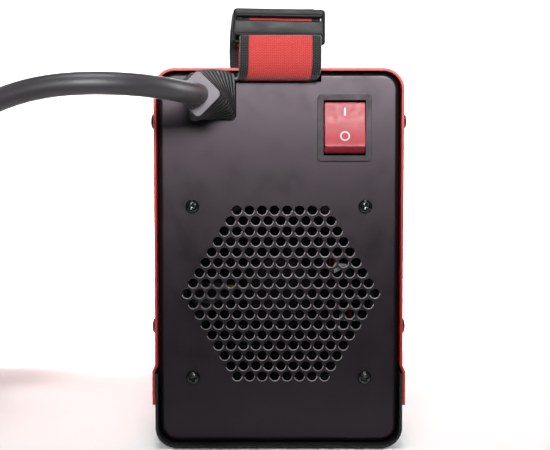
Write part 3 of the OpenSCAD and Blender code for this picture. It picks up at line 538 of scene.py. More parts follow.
def coil_points():
    """Points of the wound length, starting and ending at the side nearest the machine."""
    points = []
    per_turn = 24
    for turn, (radius, layer) in enumerate(TURNS):
        after = TURNS[min(turn + 1, len(TURNS) - 1)]
        for k in range(per_turn):
            f = k / per_turn
            ease = smoothstep((f - 1 + EASE) / EASE)
            r = radius + (after[0] - radius) * ease
            level = layer + (after[1] - layer) * ease
            angle = TAU * f
            near_tie = math.exp(-(((angle - TIE_TURN) / 0.3) ** 2))
            z = CORD_R + PITCH * level + TIE_LIFT * near_tie * max(0.0, 1 - level)
            points.append((COIL_X + r * math.cos(angle), COIL_Y + r * math.sin(angle), z))
    points.append((COIL_X + COIL_OUT, COIL_Y, CORD_R + 2 * PITCH))
    return points


def make_lead():
    """The whole lead as one smooth tube, from the strain relief to the plug."""
    route = [Vector(p) * MM for p in CORD_ROUTE + coil_points() + TAIL_ROUTE]
    line = catmull(route, 6)
    lead = tube_mesh("mains_lead", line, CORD_R * MM, 20, "cord_rubber")
    stand_for(lead, "machine", "cord_rubber", "mains_cord", "mains_cord_coil", "cord_tail")
    return lead, line


def rounded_box_ring(half_w, half_h, corner, steps=6):
    """Points of a rounded rectangle in X-Y, anticlockwise."""
    points = []
    for quarter, (sx, sy) in enumerate(((1, 1), (-1, 1), (-1, -1), (1, -1))):
        for k in range(steps + 1):
            a = math.pi / 2 * (quarter + k / steps)
            points.append((sx * (half_w - corner) + corner * math.cos(a),
                           sy * (half_h - corner) + corner * math.sin(a)))
    return points


def make_tie():
    """Hook-and-loop band round the coil, with its outer edges eased."""
    low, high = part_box("cord_tie")
    mid = (low + high) / 2
    half_w, half_h = (high.x - low.x) / 2, (high.z - low.z) / 2
    thick, soft, inset = 1.2 * MM, 0.4 * MM, 0.35 * MM
    outer = rounded_box_ring(half_w, half_h, 5 * MM)
    inner = rounded_box_ring(half_w - thick, half_h - thick, 4 * MM)
    bm = bmesh.new()
    rows = [[bm.verts.new((mid.x + x * (1 - less / half_w), y, mid.z + z * (1 - less / half_h)))
             for x, z in ring]
            for ring, y, less in ((outer, low.y, inset), (outer, low.y + soft, 0),
                                  (outer, high.y - soft, 0), (outer, high.y, inset),
                                  (inner, high.y, 0), (inner, low.y, 0))]
    bridge(bm, rows + rows[:1])
    tie = from_bmesh("coil_tie", bm, "tie_fabric", 60)
    return stand_for(tie, "machine", "tie_fabric", "cord_tie")


def make_plug():
    """Moulded two-pin plug: ribbed tail, domed shoulders, flat sides and a sunken pin face."""
    x, y, z = PLUG_AT
    base = facing(Vector(PLUG_AT) * MM, (0, 1, 0))
    bm = bmesh.new()
    profile = [(0.0, 0.2), (5.0, 0.2), (5.9, 0.6)]
    for rib in range(6):
        h = 1.2 + rib * 4
        r = 6.1 + rib * 0.5
        profile += [(r, h), (r + 0.25, h + 0.3), (r + 0.25, h + 2.2), (r, h + 2.5),
                    (r - 0.9, h + 2.7), (r - 0.8, h + 3.7)]
    profile += [(10.5, 26), (13.5, 26.6), (16.3, 28.4), (17.9, 31.5), (18.4, 35.5), (18.4, 69),
                (18.1, 71), (17.2, 72), (16.6, 72), (16.4, 71.4), (16.2, 66.5), (15.4, 66),
                (0.0, 66)]
    for row in turned(bm, profile, base, 56):
        for vert in row:
            local = base.inverted() @ vert.co
            h = local.z / MM
            if 30 < h < 73 and abs(local.x) > 14.5 * MM:
                flat = 14.9 * MM + 1.2 * MM * smoothstep((h - 52) / 8)
                keep = math.copysign(min(abs(local.x), flat), local.x)
                vert.co.x += (keep - local.x) * smoothstep((h - 30) / 5)
    weld(bm)
    body = from_bmesh("plug_body", bm, "black_rubber", 38)
    stand_for(body, "machine", "black_rubber", "mains_plug")

    bm = bmesh.new()
    profile = [(0, 0), (2.4, 0), (2.4, 23.6), (2.25, 24.6), (1.7, 25.5), (0.9, 25.95), (0, 26)]
    for side in (-1, 1):
        turned(bm, profile, facing(Vector((x + side * 9.5, y + 65, z)) * MM, (0, 1, 0)), 32)
    weld(bm)
    pins = from_bmesh("plug_pins_fine", bm, "tin_plate", 38)
    stand_for(pins, "machine", "tin_plate", "plug_pins")
    return [body, pins]


LEAD, LEAD_LINE = make_lead()
TIE = make_tie()
PLUG = make_plug()
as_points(LEAD_LINE)


# ---- places shared with the CAD

HALF_D, BODY_H = 135, 181
REAR_FACE, FRONT_FACE = -129, 129
FAN_Z, FAN_HOLE = 74.4, 41.25
SIDE_HEAD_R, FAN_HEAD_R = 3.7, 3.25
RELIEF = (-31.4, 168)
SLOT_OF = {p["node"]: p["material_slot"] for p in frame["record"]["subparts"]}
BODY_OF = {n: b for b, names in frame["record"]["behaviour"]["bodies"].items() for n in names}


def fine(node, material, width, segments=2, angle=32):
    """A copy of a CAD node with its sharp edges rounded off, riding on the node's own body."""
    bm = bmesh.new()
    bm.from_mesh(NODES[node].data)
    bmesh.ops.remove_doubles(bm, verts=bm.verts, dist=0.002 * MM)
    bmesh.ops.dissolve_limit(bm, angle_limit=math.radians(0.5), verts=bm.verts, edges=bm.edges)
    mesh = bpy.data.meshes.new(node + "_fine")
    bm.to_mesh(mesh)
    bm.free()
    piece = link(node + "_fine", mesh, material)
    cut = piece.modifiers.new("edges", "BEVEL")
    cut.width = width * MM
    cut.segments = segments
    cut.limit_method = "ANGLE"
    cut.angle_limit = math.radians(angle)
    apply_modifiers(piece)
    shade(piece, 40)
    level = piece.modifiers.new("flat_faces", "WEIGHTED_NORMAL")
    level.keep_sharp = True
    apply_modifiers(piece)
    return stand_for(piece, BODY_OF[node], SLOT_OF[node], node)


def soften(*rows):
    """Softened copies of several nodes, one for each row of arguments."""
    for row in rows:
        fine(*row)


def paint(piece, material, test):
    """Gives a second material to the faces whose centre (in mm) passes the test."""
    piece.data.materials.append(MATS[material])
    index = len(piece.data.materials) - 1
    for face in piece.data.polygons:
        if test(face.center / MM):
            face.material_index = index


def added(piece, node):
    """An extra piece that goes with a CAD node."""
    return stand_for(piece, BODY_OF[node], SLOT_OF[node])


# ---- housing

def make_screws(name, places, node, head_r):
    """Pan head screws with a domed head and a cross recess, standing proud along their axis."""
    head_h, shank_r = 2.55, 2.0
    steps, rings_n = 64, 22

    def top(r, a):
        """Height of the head's surface: a dome with a cross cut into it."""
        px, py = r * math.cos(a), r * math.sin(a)
        arm = 0.0
        for u, v in ((px, py), (py, px)):
            width = 0.55 + 0.15 * math.exp(-abs(u))
            inside = smoothstep((width - abs(v)) / 0.22 + 0.5)
            arm = max(arm, inside * smoothstep((2.0 - abs(u)) / 0.35))
        deep = 1.5 - 0.45 * min(1.0, r / 2.0)
        dome = head_h * (1 - 0.3 * (r / head_r) ** 2.2)
        edge = max(0.0, (r - head_r + 0.75) / 0.75)
        return dome * (1 - 0.42 * edge ** 2.4) - deep * arm

    bm = bmesh.new()
    for index, (x, y, z, axis, length) in enumerate(places):
        place = facing(Vector((x, y, z)) * MM, axis, (0.3, 0.3, 1))
        place = place @ Matrix.Rotation(0.5 + 0.9 * index, 4, "Z")
        radii = [head_r * (i / rings_n) ** 0.9 for i in range(1, rings_n + 1)]
        rings = [circle(place, r, lambda a, r=r: top(r, a), steps) for r in radii]
        rings += [circle(place, r, lambda a, h=h: h, steps) for r, h in (
            (head_r, 0.25), (head_r - 0.2, 0), (shank_r, 0), (shank_r, -length), (0.9, -length))]
        rows = skin(bm, rings, capped=False)
        centre = bm.verts.new(place @ (Vector((0, 0, top(0, 0))) * MM))
        for k in range(steps):
            bm.faces.new((centre, rows[0][(k + 1) % steps], rows[0][k]))
        bm.faces.new(rows[-1])
    return stand_for(from_bmesh(name, bm, "black_screw", 48), "machine", "black_screw", node)


def make_vent_rims():
    """Rolled-over edge of every ventilation hole, as a thin ring half sunk into the sheet; the
    lower arc of each ring is painted pale grey as a painted highlight.
    """
    rows, middle, pitch, row_pitch = 8, 16, 6.0, 5.0
    ring_r, wire_r, steps, sides = 2.48, 0.25, 24, 8
    outwards = Vector((0, -1, 0))
    bm = bmesh.new()
    for row in range(-rows, rows + 1):
        count = middle - abs(row)
        for i in range(count):
            hole = Vector((1.0 + (i - (count - 1) / 2) * pitch, REAR_FACE + 0.2,
                           FAN_Z - 0.6 + row * row_pitch))
            rings = []
            for k in range(steps):
                side = Vector((math.cos(TAU * k / steps), 0, math.sin(TAU * k / steps)))
                wire = around((hole + ring_r * side) * MM, wire_r * MM, side, outwards, sides)
                rings.append([bm.verts.new(p) for p in wire])
            for index, face in enumerate(bridge(bm, rings + rings[:1])):
                # The lower arc of each rim takes the pale material: a painted highlight where the
                # rim faces the light above.
                lit = 0.54 < index // sides / steps < 0.96
                face.material_index = int(lit)
    rims = from_bmesh("vent_rims", bm, "panel_paint", 60)
    rims.data.materials.append(MATS["rim_paint"])
    added(rims, "rear_panel")


def make_housing():
    """Case sheets with softened cut edges, and their screws."""
    soften(("base_tray", "tray_paint", 0.3), ("cover", "cover_paint", 0.35, 3),
           ("rear_panel", "panel_paint", 0.45, 3, 50), ("front_panel", "panel_paint", 0.3, 2, 50))
    make_vent_rims()
    fine("tray_screws", "black_screw", 0.3, 3)
    side = [(sx * 59, sy * 120.5, z, (sx, 0, 0), 6) for sx in (-1, 1) for sy in (-1, 1)
            for z in (57, 156)]
    make_screws("side_screws_fine", side, "cover_screws", SIDE_HEAD_R)
    back = [(sx * FAN_HOLE, REAR_FACE, FAN_Z + sz * FAN_HOLE, (0, -1, 0), 31)
            for sx in (-1, 1) for sz in (-1, 1)]
    make_screws("fan_screws_fine", back, "fan_screws", FAN_HEAD_R)
    fine("fan_nuts", "steel", 0.25)
    fine("earth_screw", "brass", 0.25)


# ---- fan

def make_fan():
    """Frame, stator and a moulded rotor with cambered, twisted blades."""
    soften(("fan_frame", "fan_plastic", 0.5, 3), ("fan_stator", "copper", 0.3),
           ("fan_bearing", "brass", 0.2), ("fan_shaft", "steel", 0.2))

    hub_y0, hub_l = -126.3, 19
    bm = bmesh.new()
    profile = [(0, -0.1), (9.2, -0.1), (9.4, 0.3), (9.8, 0.3), (10, 0.0), (15.4, 0.0),
               (16.8, 0.35), (17.7, 1.2), (18, 2.4), (18, hub_l - 0.3), (17.7, hub_l),
               (16.8, hub_l), (16.4, hub_l - 0.4), (16.4, 2.9), (16.0, 2.5), (0, 2.5)]
    turned(bm, profile, facing(Vector((0, hub_y0, FAN_Z)) * MM, (0, 1, 0)), 72)
    blades, root_r, tip_r, along, half_ring = 7, 17.6, 43.0, 12, 10
    for blade in range(blades):
        spin = Matrix.Rotation(TAU * blade / blades, 4, "Y")
        rings = []
        for i in range(along + 1):
            f = i / along
            r = root_r + (tip_r - root_r) * f
            pitch = math.radians(50 - 17 * f)
            chord = 19.5 + 6.5 * f
            sweep = math.radians(10 * f * f)
            thick = 1.9 - 0.7 * f
            ring = []
            for side in (1, -1):
                for k in range(half_ring + 1):
                    s = (k / half_ring - 0.5) * side
                    camber = 1.7 * (1 - 4 * s * s)
                    t = side * thick / 2 * math.sqrt(max(0.0, 1 - (2 * s) ** 4)) + camber
                    axial = -s * chord * math.sin(pitch) + t * math.cos(pitch)
                    turn = sweep + (s * chord * math.cos(pitch) + t * math.sin(pitch)) / r
                    y = min(max(hub_l / 2 + axial, 0.3), hub_l - 0.3) + hub_y0
                    point = spin @ Vector((r * math.cos(turn), y, r * math.sin(turn)))
                    ring.append((point + Vector((0, 0, FAN_Z))) * MM)
            rings.append(ring[:-1])
        skin(bm, rings)
    weld(bm)
    rotor = from_bmesh("rotor_fine", bm, "fan_plastic", 42)
    stand_for(rotor, "rotor", "black_plastic", "fan_rotor")


# ---- mains switch

SWITCH_PIVOT = (31.2, -125, 153)
ROCKER_FACE, HOLLOW_R, HOLLOW_DEEP, ROCKER_TILT = -9, 60, 0.7, -10


def on_rocker(x, z, proud):
    """A point on the rocker's hollow face at rest, lifted off it by proud."""
    hollow = max(HOLLOW_DEEP - HOLLOW_R + math.sqrt(HOLLOW_R ** 2 - z * z), 0)
    tilt = Matrix.Rotation(math.radians(ROCKER_TILT), 4, "X")
    return (tilt @ Vector((x, ROCKER_FACE + hollow - proud, z)) + Vector(SWITCH_PIVOT)) * MM


def make_switch():
    """Bezel and housing, the rocker and its I and O marks."""
    soften(("switch_housing", "black_plastic", 0.45, 3), ("switch_terminals", "tin_plate", 0.12),
           ("switch_rocker", "rocker_red", 0.75, 4))

    sunk, proud = -0.1, 0.06
    bm = bmesh.new()
    bar = []
    for i in range(9):
        z = 4.3 + 3.7 * i / 8
        half = 0.3 if i in (0, 8) else 0.42
        bar.append([on_rocker(-half, z, proud), on_rocker(half, z, proud),
                    on_rocker(half, z, sunk), on_rocker(-half, z, sunk)])
    skin(bm, bar)
    ring_at, outer, inner, steps = -5.4, 2.35, 1.65, 40
    ring = []
    for k in range(steps):
        c, s = math.cos(TAU * k / steps), math.sin(TAU * k / steps)
        ring.append([bm.verts.new(on_rocker(r * c, ring_at + r * s, lift)) for r, lift in
                     ((inner, sunk), (inner, proud), (outer, proud), (outer, sunk))])
    bridge(bm, ring + ring[:1])
    added(from_bmesh("rocker_marks", bm, "mark_white", 30), "switch_rocker")


# ---- strain relief

def make_relief():
    """Square ribbed rubber boot that tapers and twists an eighth of a turn along its length."""
    ribs, base_w, end_w = 9, 22.5, 16.0
    y0, y1 = REAR_FACE, EXIT[1]
    x0, z0 = RELIEF
    eighth = -math.radians(45)
    bm = bmesh.new()

    def section(y, width, corner, turn):
        """Rounded square across the boot, whose middle shifts towards the lead's exit."""
        f = (y - y0) / (y1 - y0)
        x = x0 + (EXIT[0] - x0) * f
        c, s = math.cos(turn), math.sin(turn)
        return [Vector((x + px * c + pz * s, y, z0 - px * s + pz * c)) * MM
                for px, pz in rounded_box_ring(width / 2, width / 2, corner, 5)]

    rings = [section(y0 + 0.5, 21.9, 2.0, 0), section(y0 - 0.1, base_w, 2.2, 0),
             section(y0 - 2.3, base_w, 2.2, 0), section(y0 - 2.9, base_w - 0.8, 2.0, 0)]
    step = (y1 - (y0 - 3)) / ribs
    for i in range(ribs):
        f0, f1 = i / ribs, (i + 1) / ribs
        w = base_w + (end_w - base_w) * f1 - 0.1
        groove = w * 0.82
        turn, back = eighth * f1, eighth * (f0 * 0.4 + f1 * 0.6)
        start = y0 - 3 + step * i
        rings.append(section(start, groove, 1.8, back))
        rings += [section(start + step * f, width, corner, turn) for f, width, corner in (
            (0.3, groove, 1.8), (0.36, w - 0.7, 2.0), (0.46, w, 2.3), (0.88, w, 2.3),
            (0.98, w - 0.8, 2.1))]
    rings += [section(y1, end_w - 2.2, 2.4, eighth), section(y1 + 0.1, 10.4, 5.0, eighth)]
    skin(bm, rings)
    relief = from_bmesh("strain_relief_fine", bm, "boot_rubber", 35)
    # The end face gets a lighter copy of the rubber: painted sheen of the light it faces, not a
    # different material.
    paint(relief, "boot_face", lambda c: c.y < y1 + 0.15)
    stand_for(relief, "machine", "black_rubber", "strain_relief")

    bm = bmesh.new()
    neck = facing(Vector((x0, REAR_FACE - 0.8, z0)) * MM, (0, 1, 0))
    turned(bm, [(0, 0), (8, 0), (8, 2), (9, 2.1), (9.4, 2.6), (9.2, 4.6), (8.5, 5), (4.8, 5),
                (4.75, 19.5), (4.2, 20), (0, 20)], neck, 40)
    weld(bm)
    added(from_bmesh("relief_neck", bm, "black_rubber", 35), "strain_relief")


# ---- strap and buckles

BUCKLE_U, BUCKLE_V, TAIL_W, STRAP_T = 3, 19.4, 2.5, 1.6
TILT = math.radians(35)


def in_buckle(s, w):
    """Inward from the rim and up from the cover, for a point of the buckle's own plane."""
    return (BUCKLE_U + math.sin(TILT) * s + math.cos(TILT) * w,
            BUCKLE_V + math.cos(TILT) * s - math.sin(TILT) * w)


def corner_cut(points):
    """One pass of corner cutting along an open path."""
    out = [points[0]]
    for a, b in zip(points, points[1:]):
        for f in (0.25, 0.75):
            out.append(tuple(p + f * (q - p) for p, q in zip(a, b)))
    out.append(points[-1])
    return out


def strap_line():
    """The strap's middle line as (sideways, along, up) in mm, from one sewn end to the other."""
    half = [(0.8, *p) for p in (
        in_buckle(9.5, TAIL_W), in_buckle(-5.3, TAIL_W), in_buckle(-7.4, TAIL_W - 0.1),
        in_buckle(-7.4, 0.1 - TAIL_W), in_buckle(-9.5, -TAIL_W), in_buckle(-12.8, -TAIL_W))]
    half += [(0.8, -8, 5), (0.7, -8.2, 0.4), (0.2, -6.6, -3.5), (-1, -2, -5.1), (-2.4, 4, -5.1),
             (-3.6, 9, -4.4), (-4.2, 11.5, -1.5), (-4.6, 11.5, 4), (-4.6, 10, 10)]
    half += [(-4.2, *in_buckle(1, 4.7)), (-3.2, *in_buckle(13, 4.7)),
             (-2, 26, 28), (-0.7, 52, 32), (0, 90, 33)]
    for _ in range(3):
        half = corner_cut(half)
    line = [Vector((x, u - HALF_D, BODY_H + v)) for x, u, v in half]
    return line + [Vector((-p.x, -p.y, p.z)) for p in reversed(line)]


def make_strap():
    """Woven strap as a thin band with rounded selvedges and lengthwise UV in metres."""
    line = strap_line()
    half_w, half_t, corner, across = 19.0, STRAP_T / 2, 0.62, 10
    ring = []
    for side in (1, -1):
        for k in range(across + 1):
            ring.append((side * (half_w - corner) * (1 - 2 * k / across), side * half_t))
        for a in (60, 20, -20, -60):
            turn = math.radians(a)
            ring.append((-side * (half_w - corner + corner * math.cos(turn)),
                         side * half_t * math.sin(turn)))
    bm = bmesh.new()
    rows, uv_of, walked = [], {}, 0.0
    for i, point in enumerate(line):
        ahead, behind = line[min(i + 1, len(line) - 1)], line[max(i - 1, 0)]
        tangent = ahead - behind
        tangent.x = 0
        tangent.normalize()
        normal = Vector((0, -tangent.z, tangent.y))
        if i:
            walked += (point - line[i - 1]).length * MM
        rows.append([bm.verts.new((point + Vector((x, 0, 0)) + normal * t) * MM) for x, t in ring])
        for vert, (x, _) in zip(rows[-1], ring):
            uv_of[vert] = (x / (2 * half_w) + 0.5, walked)
    bridge(bm, rows)
    bm.faces.new(rows[0])
    bm.faces.new(rows[-1])
    uv_layer = bm.loops.layers.uv.new("UVMap")
    for face in bm.faces:
        for loop in face.loops:
            loop[uv_layer].uv = uv_of[loop.vert]
    strap = from_bmesh("strap_woven", bm, "webbing", 50)
    stand_for(strap, "machine", "red_webbing", "carry_strap")

    make_buckle("strap_buckle_rear", 1, 1.4)
    make_buckle("strap_buckle_front", -1, 0)


def eased_lines(edges, reach):
    """Grid lines that crowd towards each edge, so that a rounded edge gets even facets."""
    steps = 6
    lines = set(edges)
    for low, high in zip(edges, edges[1:]):
        near = min(reach, (high - low) / 2)
        for k in range(1, steps + 1):
            off = near * (1 - math.cos(math.pi / 2 * k / steps))
            lines.update((round(low + off, 4), round(high - off, 4)))
    return sorted(lines)


def make_buckle(node, end, roll):
    """Slot buckle with full-round bars, turned by a degree or so in its own plane."""
    half_w, half_h, corner, half_t, reach = 21.8, 10.5, 2.0, 1.2, 1.4
    slots = [(-19.8, 19.8, -8.8, -6.0), (-19.8, 19.8, 3.4, 5.6)]
    across = eased_lines([-half_w, -19.8, 19.8, half_w], reach)
    along = eased_lines([-half_h, -8.8, -6.0, 3.4, 5.6, half_h], reach)

    def height(x, s):
        """How far the surface stands off the middle plane, from the nearest edge's distance."""
        dx, ds = abs(x) - (half_w - corner), abs(s) - (half_h - corner)
        edge = corner - math.hypot(max(dx, 0), max(ds, 0)) - min(max(dx, ds), 0)
        for x0, x1, s0, s1 in slots:
            edge = min(edge, math.hypot(max(x0 - x, x - x1, 0), max(s0 - s, s - s1, 0)))
        f = min(max(edge, 0) / reach, 1)
        return half_t * math.sqrt(max(0.0, 1 - (1 - f) ** 2))

    def outline(x, s):
        """Pulls a grid point outside the rounded corners onto them."""
        dx, ds = abs(x) - (half_w - corner), abs(s) - (half_h - corner)
        if dx > 0 and ds > 0 and math.hypot(dx, ds) > corner:
            k = corner / math.hypot(dx, ds)
            x = math.copysign(half_w - corner + dx * k, x)
            s = math.copysign(half_h - corner + ds * k, s)
        return x, s

    def place(x, s, w):
        turn = math.radians(roll)
        x, s = x * math.cos(turn) + s * math.sin(turn), s * math.cos(turn) - x * math.sin(turn)
        u, v = in_buckle(s, w)
        return Vector((x * end, (u - HALF_D) * end, BODY_H + v)) * MM

    bm = bmesh.new()
    for side in (-1, 1):
        sheet = {}
        for i, x in enumerate(across):
            for j, s in enumerate(along):
                px, ps = outline(x, s)
                sheet[i, j] = bm.verts.new(place(px, ps, side * height(px, ps)))
        for i in range(len(across) - 1):
            for j in range(len(along) - 1):
                cx, cs = (across[i] + across[i + 1]) / 2, (along[j] + along[j + 1]) / 2
                if any(x0 < cx < x1 and s0 < cs < s1 for x0, x1, s0, s1 in slots):
                    continue
                bm.faces.new((sheet[i, j], sheet[i + 1, j], sheet[i + 1, j + 1], sheet[i, j + 1]))
    bmesh.ops.remove_doubles(bm, verts=bm.verts, dist=0.004 * MM)
    loose = [v for v in bm.verts if not v.link_faces]
    bmesh.ops.delete(bm, geom=loose, context="VERTS")
    buckle = from_bmesh(node + "_fine", bm, "gloss_black", 60)
    stand_for(buckle, "machine", SLOT_OF[node], node)


# ---- front controls

def make_scale():
    """Ticks and digits of the current scale, as thin plates on the film."""
    knob_z, y = 122, FRONT_FACE + 0.5
    bm = bmesh.new()
    for k in range(51):
        angle = math.radians(-140 + 280 * k / 50)
        out, half = (25.6, 0.32) if k % 5 == 0 else (24, 0.16)
        c, s = math.sin(angle), math.cos(angle)
        low, top = [[bm.verts.new(Vector((-r * c + w * s, level, knob_z + r * s + w * c)) * MM)
                     for r, w in ((21.4, -half), (out, -half), (out, half), (21.4, half))]
                    for level in (y - 0.02, y + 0.08)]
        bm.faces.new(top)
        bridge(bm, [low, top])
    added(from_bmesh("scale_ticks", bm, "scale_dark", 0), "scale_plate")

    bm = bmesh.new()
    digits_r = 30.5
    for k in range(0, 11, 2):
        angle = math.radians(-140 + 28 * k)
        text = bpy.data.curves.new("digit", "FONT")
        text.body = str(k)
        text.size = 5.4 * MM
        text.align_x = text.align_y = "CENTER"
        text.extrude = 0.05 * MM
        glyph = bpy.data.objects.new("digit", text)
        bpy.context.scene.collection.objects.link(glyph)
        flat = bpy.data.meshes.new_from_object(
            glyph.evaluated_get(bpy.context.evaluated_depsgraph_get()))
        middle = (-digits_r * math.sin(angle), y + 0.04, knob_z + digits_r * math.cos(angle))
        flat.transform(facing(Vector(middle) * MM, (0, 1, 0), (-1, 0, 0)))
        bm.from_mesh(flat)
        bpy.data.objects.remove(glyph)
        bpy.data.curves.remove(text)
        bpy.data.meshes.remove(flat)
    added(from_bmesh("scale_digits", bm, "scale_dark", 0), "scale_plate")


def make_front():
    """Printed scale, fluted knob with its pointer, lights and output sockets."""
    fine("scale_plate", "scale_film", 0.15)
    make_scale()
    fine("control_knob", "knob_black", 0.4, 3)
    cap = fine("knob_cap", "knob_red", 0.35, 3)
    paint(cap, "mark_white", lambda c: abs(c.x) < 0.7 and c.z > 124 and c.y < 144.5)
    soften(("potentiometer", "pot_body", 0.3), ("potentiometer_shaft", "steel", 0.25),
           ("potentiometer_nut", "steel", 0.25))
    for node, material in (("power_led", "green_lens"), ("fault_led", "amber_lens")):
        led = fine(node, material, 0.6, 4)
        paint(led, "tin_plate", lambda c: c.y < 122.7)
    fine("socket_insulators", "black_plastic", 0.7, 3)
    soften(("output_socket_positive", "brass", 0.3), ("output_socket_negative", "brass", 0.3),
           ("socket_nuts", "brass", 0.4), ("busbar_positive", "copper", 0.35),
           ("busbar_negative", "copper", 0.35))
    board = fine("control_board", "board_green", 0.15)
    paint(board, "chip_black", lambda c: c.y < 106.9)
    fine("control_standoffs", "steel", 0.25)


# ---- power electronics

BOARD_TOP = 17.6
CAN_X, CAN_Y = (-16, 17), -72


def small_parts():
    """Rows of little resistors and capacitors soldered to the main board."""
    rng = random.Random(7)
    bm = bmesh.new()
    spots = [(x, y) for x in (-26, -18, -10, 10, 18, 26) for y in (-50, -44, -38, -32, 32, 38)]
    for x, y in spots:
        w, d, h = rng.choice(((3.2, 1.6, 0.8), (2, 1.25, 0.7), (5, 4, 1.6)))
        cx = x + rng.uniform(-1.5, 1.5)
        cy = y + rng.uniform(-1, 1)
        place = Matrix.Translation(Vector((cx, cy, BOARD_TOP + h / 2)) * MM)
        size = Matrix.Diagonal(Vector((w, d, h, 1 / MM)) * MM)
        bmesh.ops.create_cube(bm, size=1, matrix=place @ size)
    bmesh.ops.bevel(bm, geom=bm.edges, offset=0.12 * MM, segments=2, affect="EDGES")
    return from_bmesh("board_small_parts", bm, "chip_black", 40)


def ring_winding(name, centre, axis, mean, wire, turns, section, start=0.0, share=1.0):
    """Loops of wire round a ring core; section is the loop's half sizes, outwards and along."""
    place = facing(Vector(centre) * MM, axis)
    path = rounded_box_ring(section[0], section[1], min(section) * 0.75, 5)
    bm = bmesh.new()
    for t in range(turns):
        a = TAU * (start + share * t / turns)
        out = Vector((math.cos(a), math.sin(a), 0))
        loop = [place @ ((out * (mean + r) + Vector((0, 0, h))) * MM) for r, h in path]
        side = (place.to_3x3() @ Vector((-math.sin(a), math.cos(a), 0))).normalized()
        rows = []
        for i, p in enumerate(loop):
            tangent = (loop[(i + 1) % len(loop)] - loop[i - 1]).normalized()
            up = tangent.cross(side).normalized()
            rows.append([bm.verts.new(q) for q in around(p, wire * MM, side, up, 8)])
        bridge(bm, rows + rows[:1])
    return from_bmesh(name, bm, "winding", 180)


def ring_core(name, centre, axis, mean, half_r, half_h):
    """A plain ring core with rounded edges."""
    bm = bmesh.new()
    corner = min(half_r, half_h) * 0.5
    profile = [(mean + r, h) for r, h in rounded_box_ring(half_r, half_h, corner, 4)]
    turned(bm, profile + profile[:1], facing(Vector(centre) * MM, axis), 60, closed=True)
    weld(bm)
    return from_bmesh(name, bm, "ferrite", 40)


def make_capacitors():
    """Two sleeved cans with a bare, rimmed metal top."""
    bm = bmesh.new()
    profile = [(0, 0), (14.2, 0), (14.9, 0.5), (15, 1.5), (15, 4), (14.4, 5), (14.4, 5.6),
               (15, 6.6), (15, 44.6), (14.6, 45.7), (13.8, 46), (13, 45.7), (12.7, 45.2),
               (0, 45.2)]
    for x in CAN_X:
        turned(bm, profile, facing(Vector((x, CAN_Y, BOARD_TOP)) * MM, (0, 0, 1)), 56)
    weld(bm)
    cans = from_bmesh("capacitor_cans", bm, "capacitor_sleeve", 40)
    paint(cans, "heatsink_metal", lambda c: c.z > BOARD_TOP + 45.1 and any(
        (c.x - x) ** 2 + (c.y - CAN_Y) ** 2 < 160 for x in CAN_X))
    stand_for(cans, "machine", "capacitor_sleeve", "bulk_capacitors")


def make_power():
    """Boards, heatsinks and wound parts inside the case."""
    fine("main_board", "board_green", 0.2)
    added(small_parts(), "main_board")
    soften(("board_standoffs", "steel", 0.3), ("board_screws", "steel", 0.3),
           ("insulation_sheet", "fish_paper", 0.1), ("heatsink_left", "heatsink_metal", 0.25),
           ("heatsink_right", "heatsink_metal", 0.25), ("power_transistors", "chip_black", 0.25),
           ("output_diodes", "chip_black", 0.25), ("bridge_rectifier", "chip_black", 0.5),
           ("transformer_core", "ferrite", 0.5), ("inrush_relay", "relay_white", 0.6))
    make_capacitors()

    bm = bmesh.new()
    profile = [(6.4, 9.9)]
    for turn in range(15):
        h = 10.6 + turn * 1.6
        profile += [(10.3, h - 0.7), (10.95, h - 0.35), (11.1, h), (10.95, h + 0.35),
                    (10.3, h + 0.7)]
    profile += [(6.4, 34.1), (6.4, 9.9)]
    spool = facing(Vector((0, 10, BOARD_TOP + 1)) * MM, (0, 0, 1))
    turned(bm, profile, spool, 48, closed=True)
    weld(bm)
    coil = from_bmesh("transformer_coil", bm, "winding", 40)
    stand_for(coil, "machine", "copper", "transformer_windings")

    choke_at, choke_axis = (0, 54, BOARD_TOP + 21), (0, 1, 0)
    core = ring_core("choke_core", choke_at, choke_axis, 14.5, 3.6, 6.1)
    stand_for(core, "machine", "copper", "output_choke")
    wire = ring_winding("choke_wire", choke_at, choke_axis, 14.5, 0.95, 22, (4.5, 7.0))
    added(wire, "output_choke")
    filter_at, filter_axis = (42.5, -72, BOARD_TOP + 7), (0, 0, 1)
    core = ring_core("filter_core", filter_at, filter_axis, 6.75, 1.7, 5.3)
    stand_for(core, "machine", "copper", "filter_choke")
    for start in (0.04, 0.54):
        added(ring_winding("filter_wire_%d" % (start * 100), filter_at, filter_axis, 6.75, 0.45,
                           11, (2.25, 5.95), start, 0.42), "filter_choke")

    for side, x, nodes in (("left", 26.2, ["switch_leads"]), ("right", 36.2, [])):
        line = catmull([Vector(p) * MM for p in (
            (x, -100, 158.2), (x, -98, 158.2), (x, -95, 156), (x, -92, 149), (x, -91, 129),
            (x, -91, 90), (x, -91, BOARD_TOP))], 5)
        lead = tube_mesh("switch_lead_" + side, line, 1.4 * MM, 14, "wire_red")
        stand_for(lead, "machine", "wire_red", *nodes)


make_housing()
make_fan()
make_switch()
make_relief()
make_strap()
make_front()
make_power()


# ---- floor and light

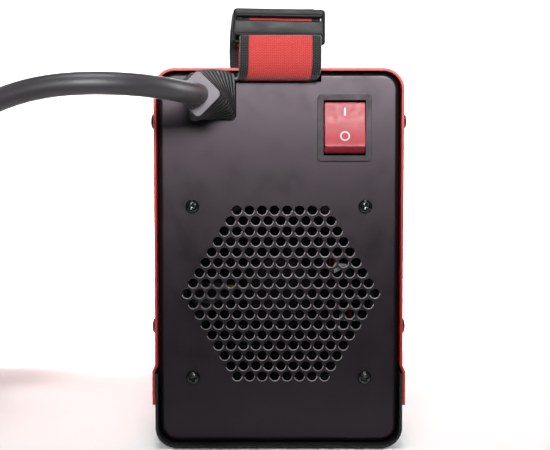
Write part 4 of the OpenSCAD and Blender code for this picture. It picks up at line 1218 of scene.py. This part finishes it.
def make_stage():
    """A pale floor that turns up far behind the machine into a plain backdrop."""
    n = Nodes("stage_paper", (0.93, 0.93, 0.93), 0.85, spec=0.15)
    n.tones(n.noise(400, 2), 0.3, 0.7, (0.92, 0.92, 0.92), (0.95, 0.95, 0.95))
    bend_y, bend_r, under = 1.6, 0.9, 0.0004
    turns = [math.radians(a) for a in range(0, 91, 6)]
    profile = [(-2.5, 0)]
    profile += [(bend_y + bend_r * math.sin(a), bend_r - bend_r * math.cos(a)) for a in turns]
    profile += [(2.5, 3.5)]
    rings = [[Vector((x, y, z - under)) for y, z in profile] for x in (-3.5, 3.5)]
    bm = bmesh.new()
    skin(bm, rings, closed=False, capped=False)
    from_bmesh("backdrop", bm, "stage_paper", 180)


def make_light(name, at, toward, width, height, watts, spread):
    """A soft rectangular light; a smaller spread keeps it off what lies to its side."""
    data = bpy.data.lights.new(name, "AREA")
    data.shape = "RECTANGLE"
    data.size = width
    data.size_y = height
    data.energy = watts
    data.spread = math.radians(spread)
    lamp = bpy.data.objects.new(name, data)
    lamp.location = at
    lamp.rotation_euler = (Vector(toward) - Vector(at)).to_track_quat("-Z", "Y").to_euler()
    bpy.context.scene.collection.objects.link(lamp)


def make_world(strength):
    """An even white surround."""
    world = bpy.data.worlds.new("studio")
    world.use_nodes = True
    back = world.node_tree.nodes["Background"]
    back.inputs[0].default_value = (1, 1, 1, 1)
    back.inputs[1].default_value = strength
    bpy.context.scene.world = world


make_stage()
make_world(0.05)
bpy.context.scene.view_settings.view_transform = "Standard"
for light in (
        ("key", (0.04, -1.05, 0.4), (0.01, -0.13, 0.25), 0.5, 0.2, 0.6, 26),
        ("top", (-0.04, -0.3, 0.95), (-0.04, -0.16, 0.2), 0.6, 0.16, 0.24, 22),
        ("left", (-0.95, 0.2, 0.45), (0, 0.16, 0.04), 0.3, 0.7, 1.9, 58),
        ("right", (0.95, 0.2, 0.45), (0, 0.16, 0.04), 0.3, 0.7, 1.9, 58),
        ("floor", (0, 0.5, 1.3), (0, 0.66, 0), 1.6, 0.2, 18, 56),
        ("behind", (0, 0.6, 1.5), (0, 1.35, 0.0), 2.4, 0.6, 60, 84),
        ("front_end", (0.2, 1.1, 0.6), (0, 0.13, 0.1), 0.8, 0.4, 0.8, 70),
):
    make_light(*light)
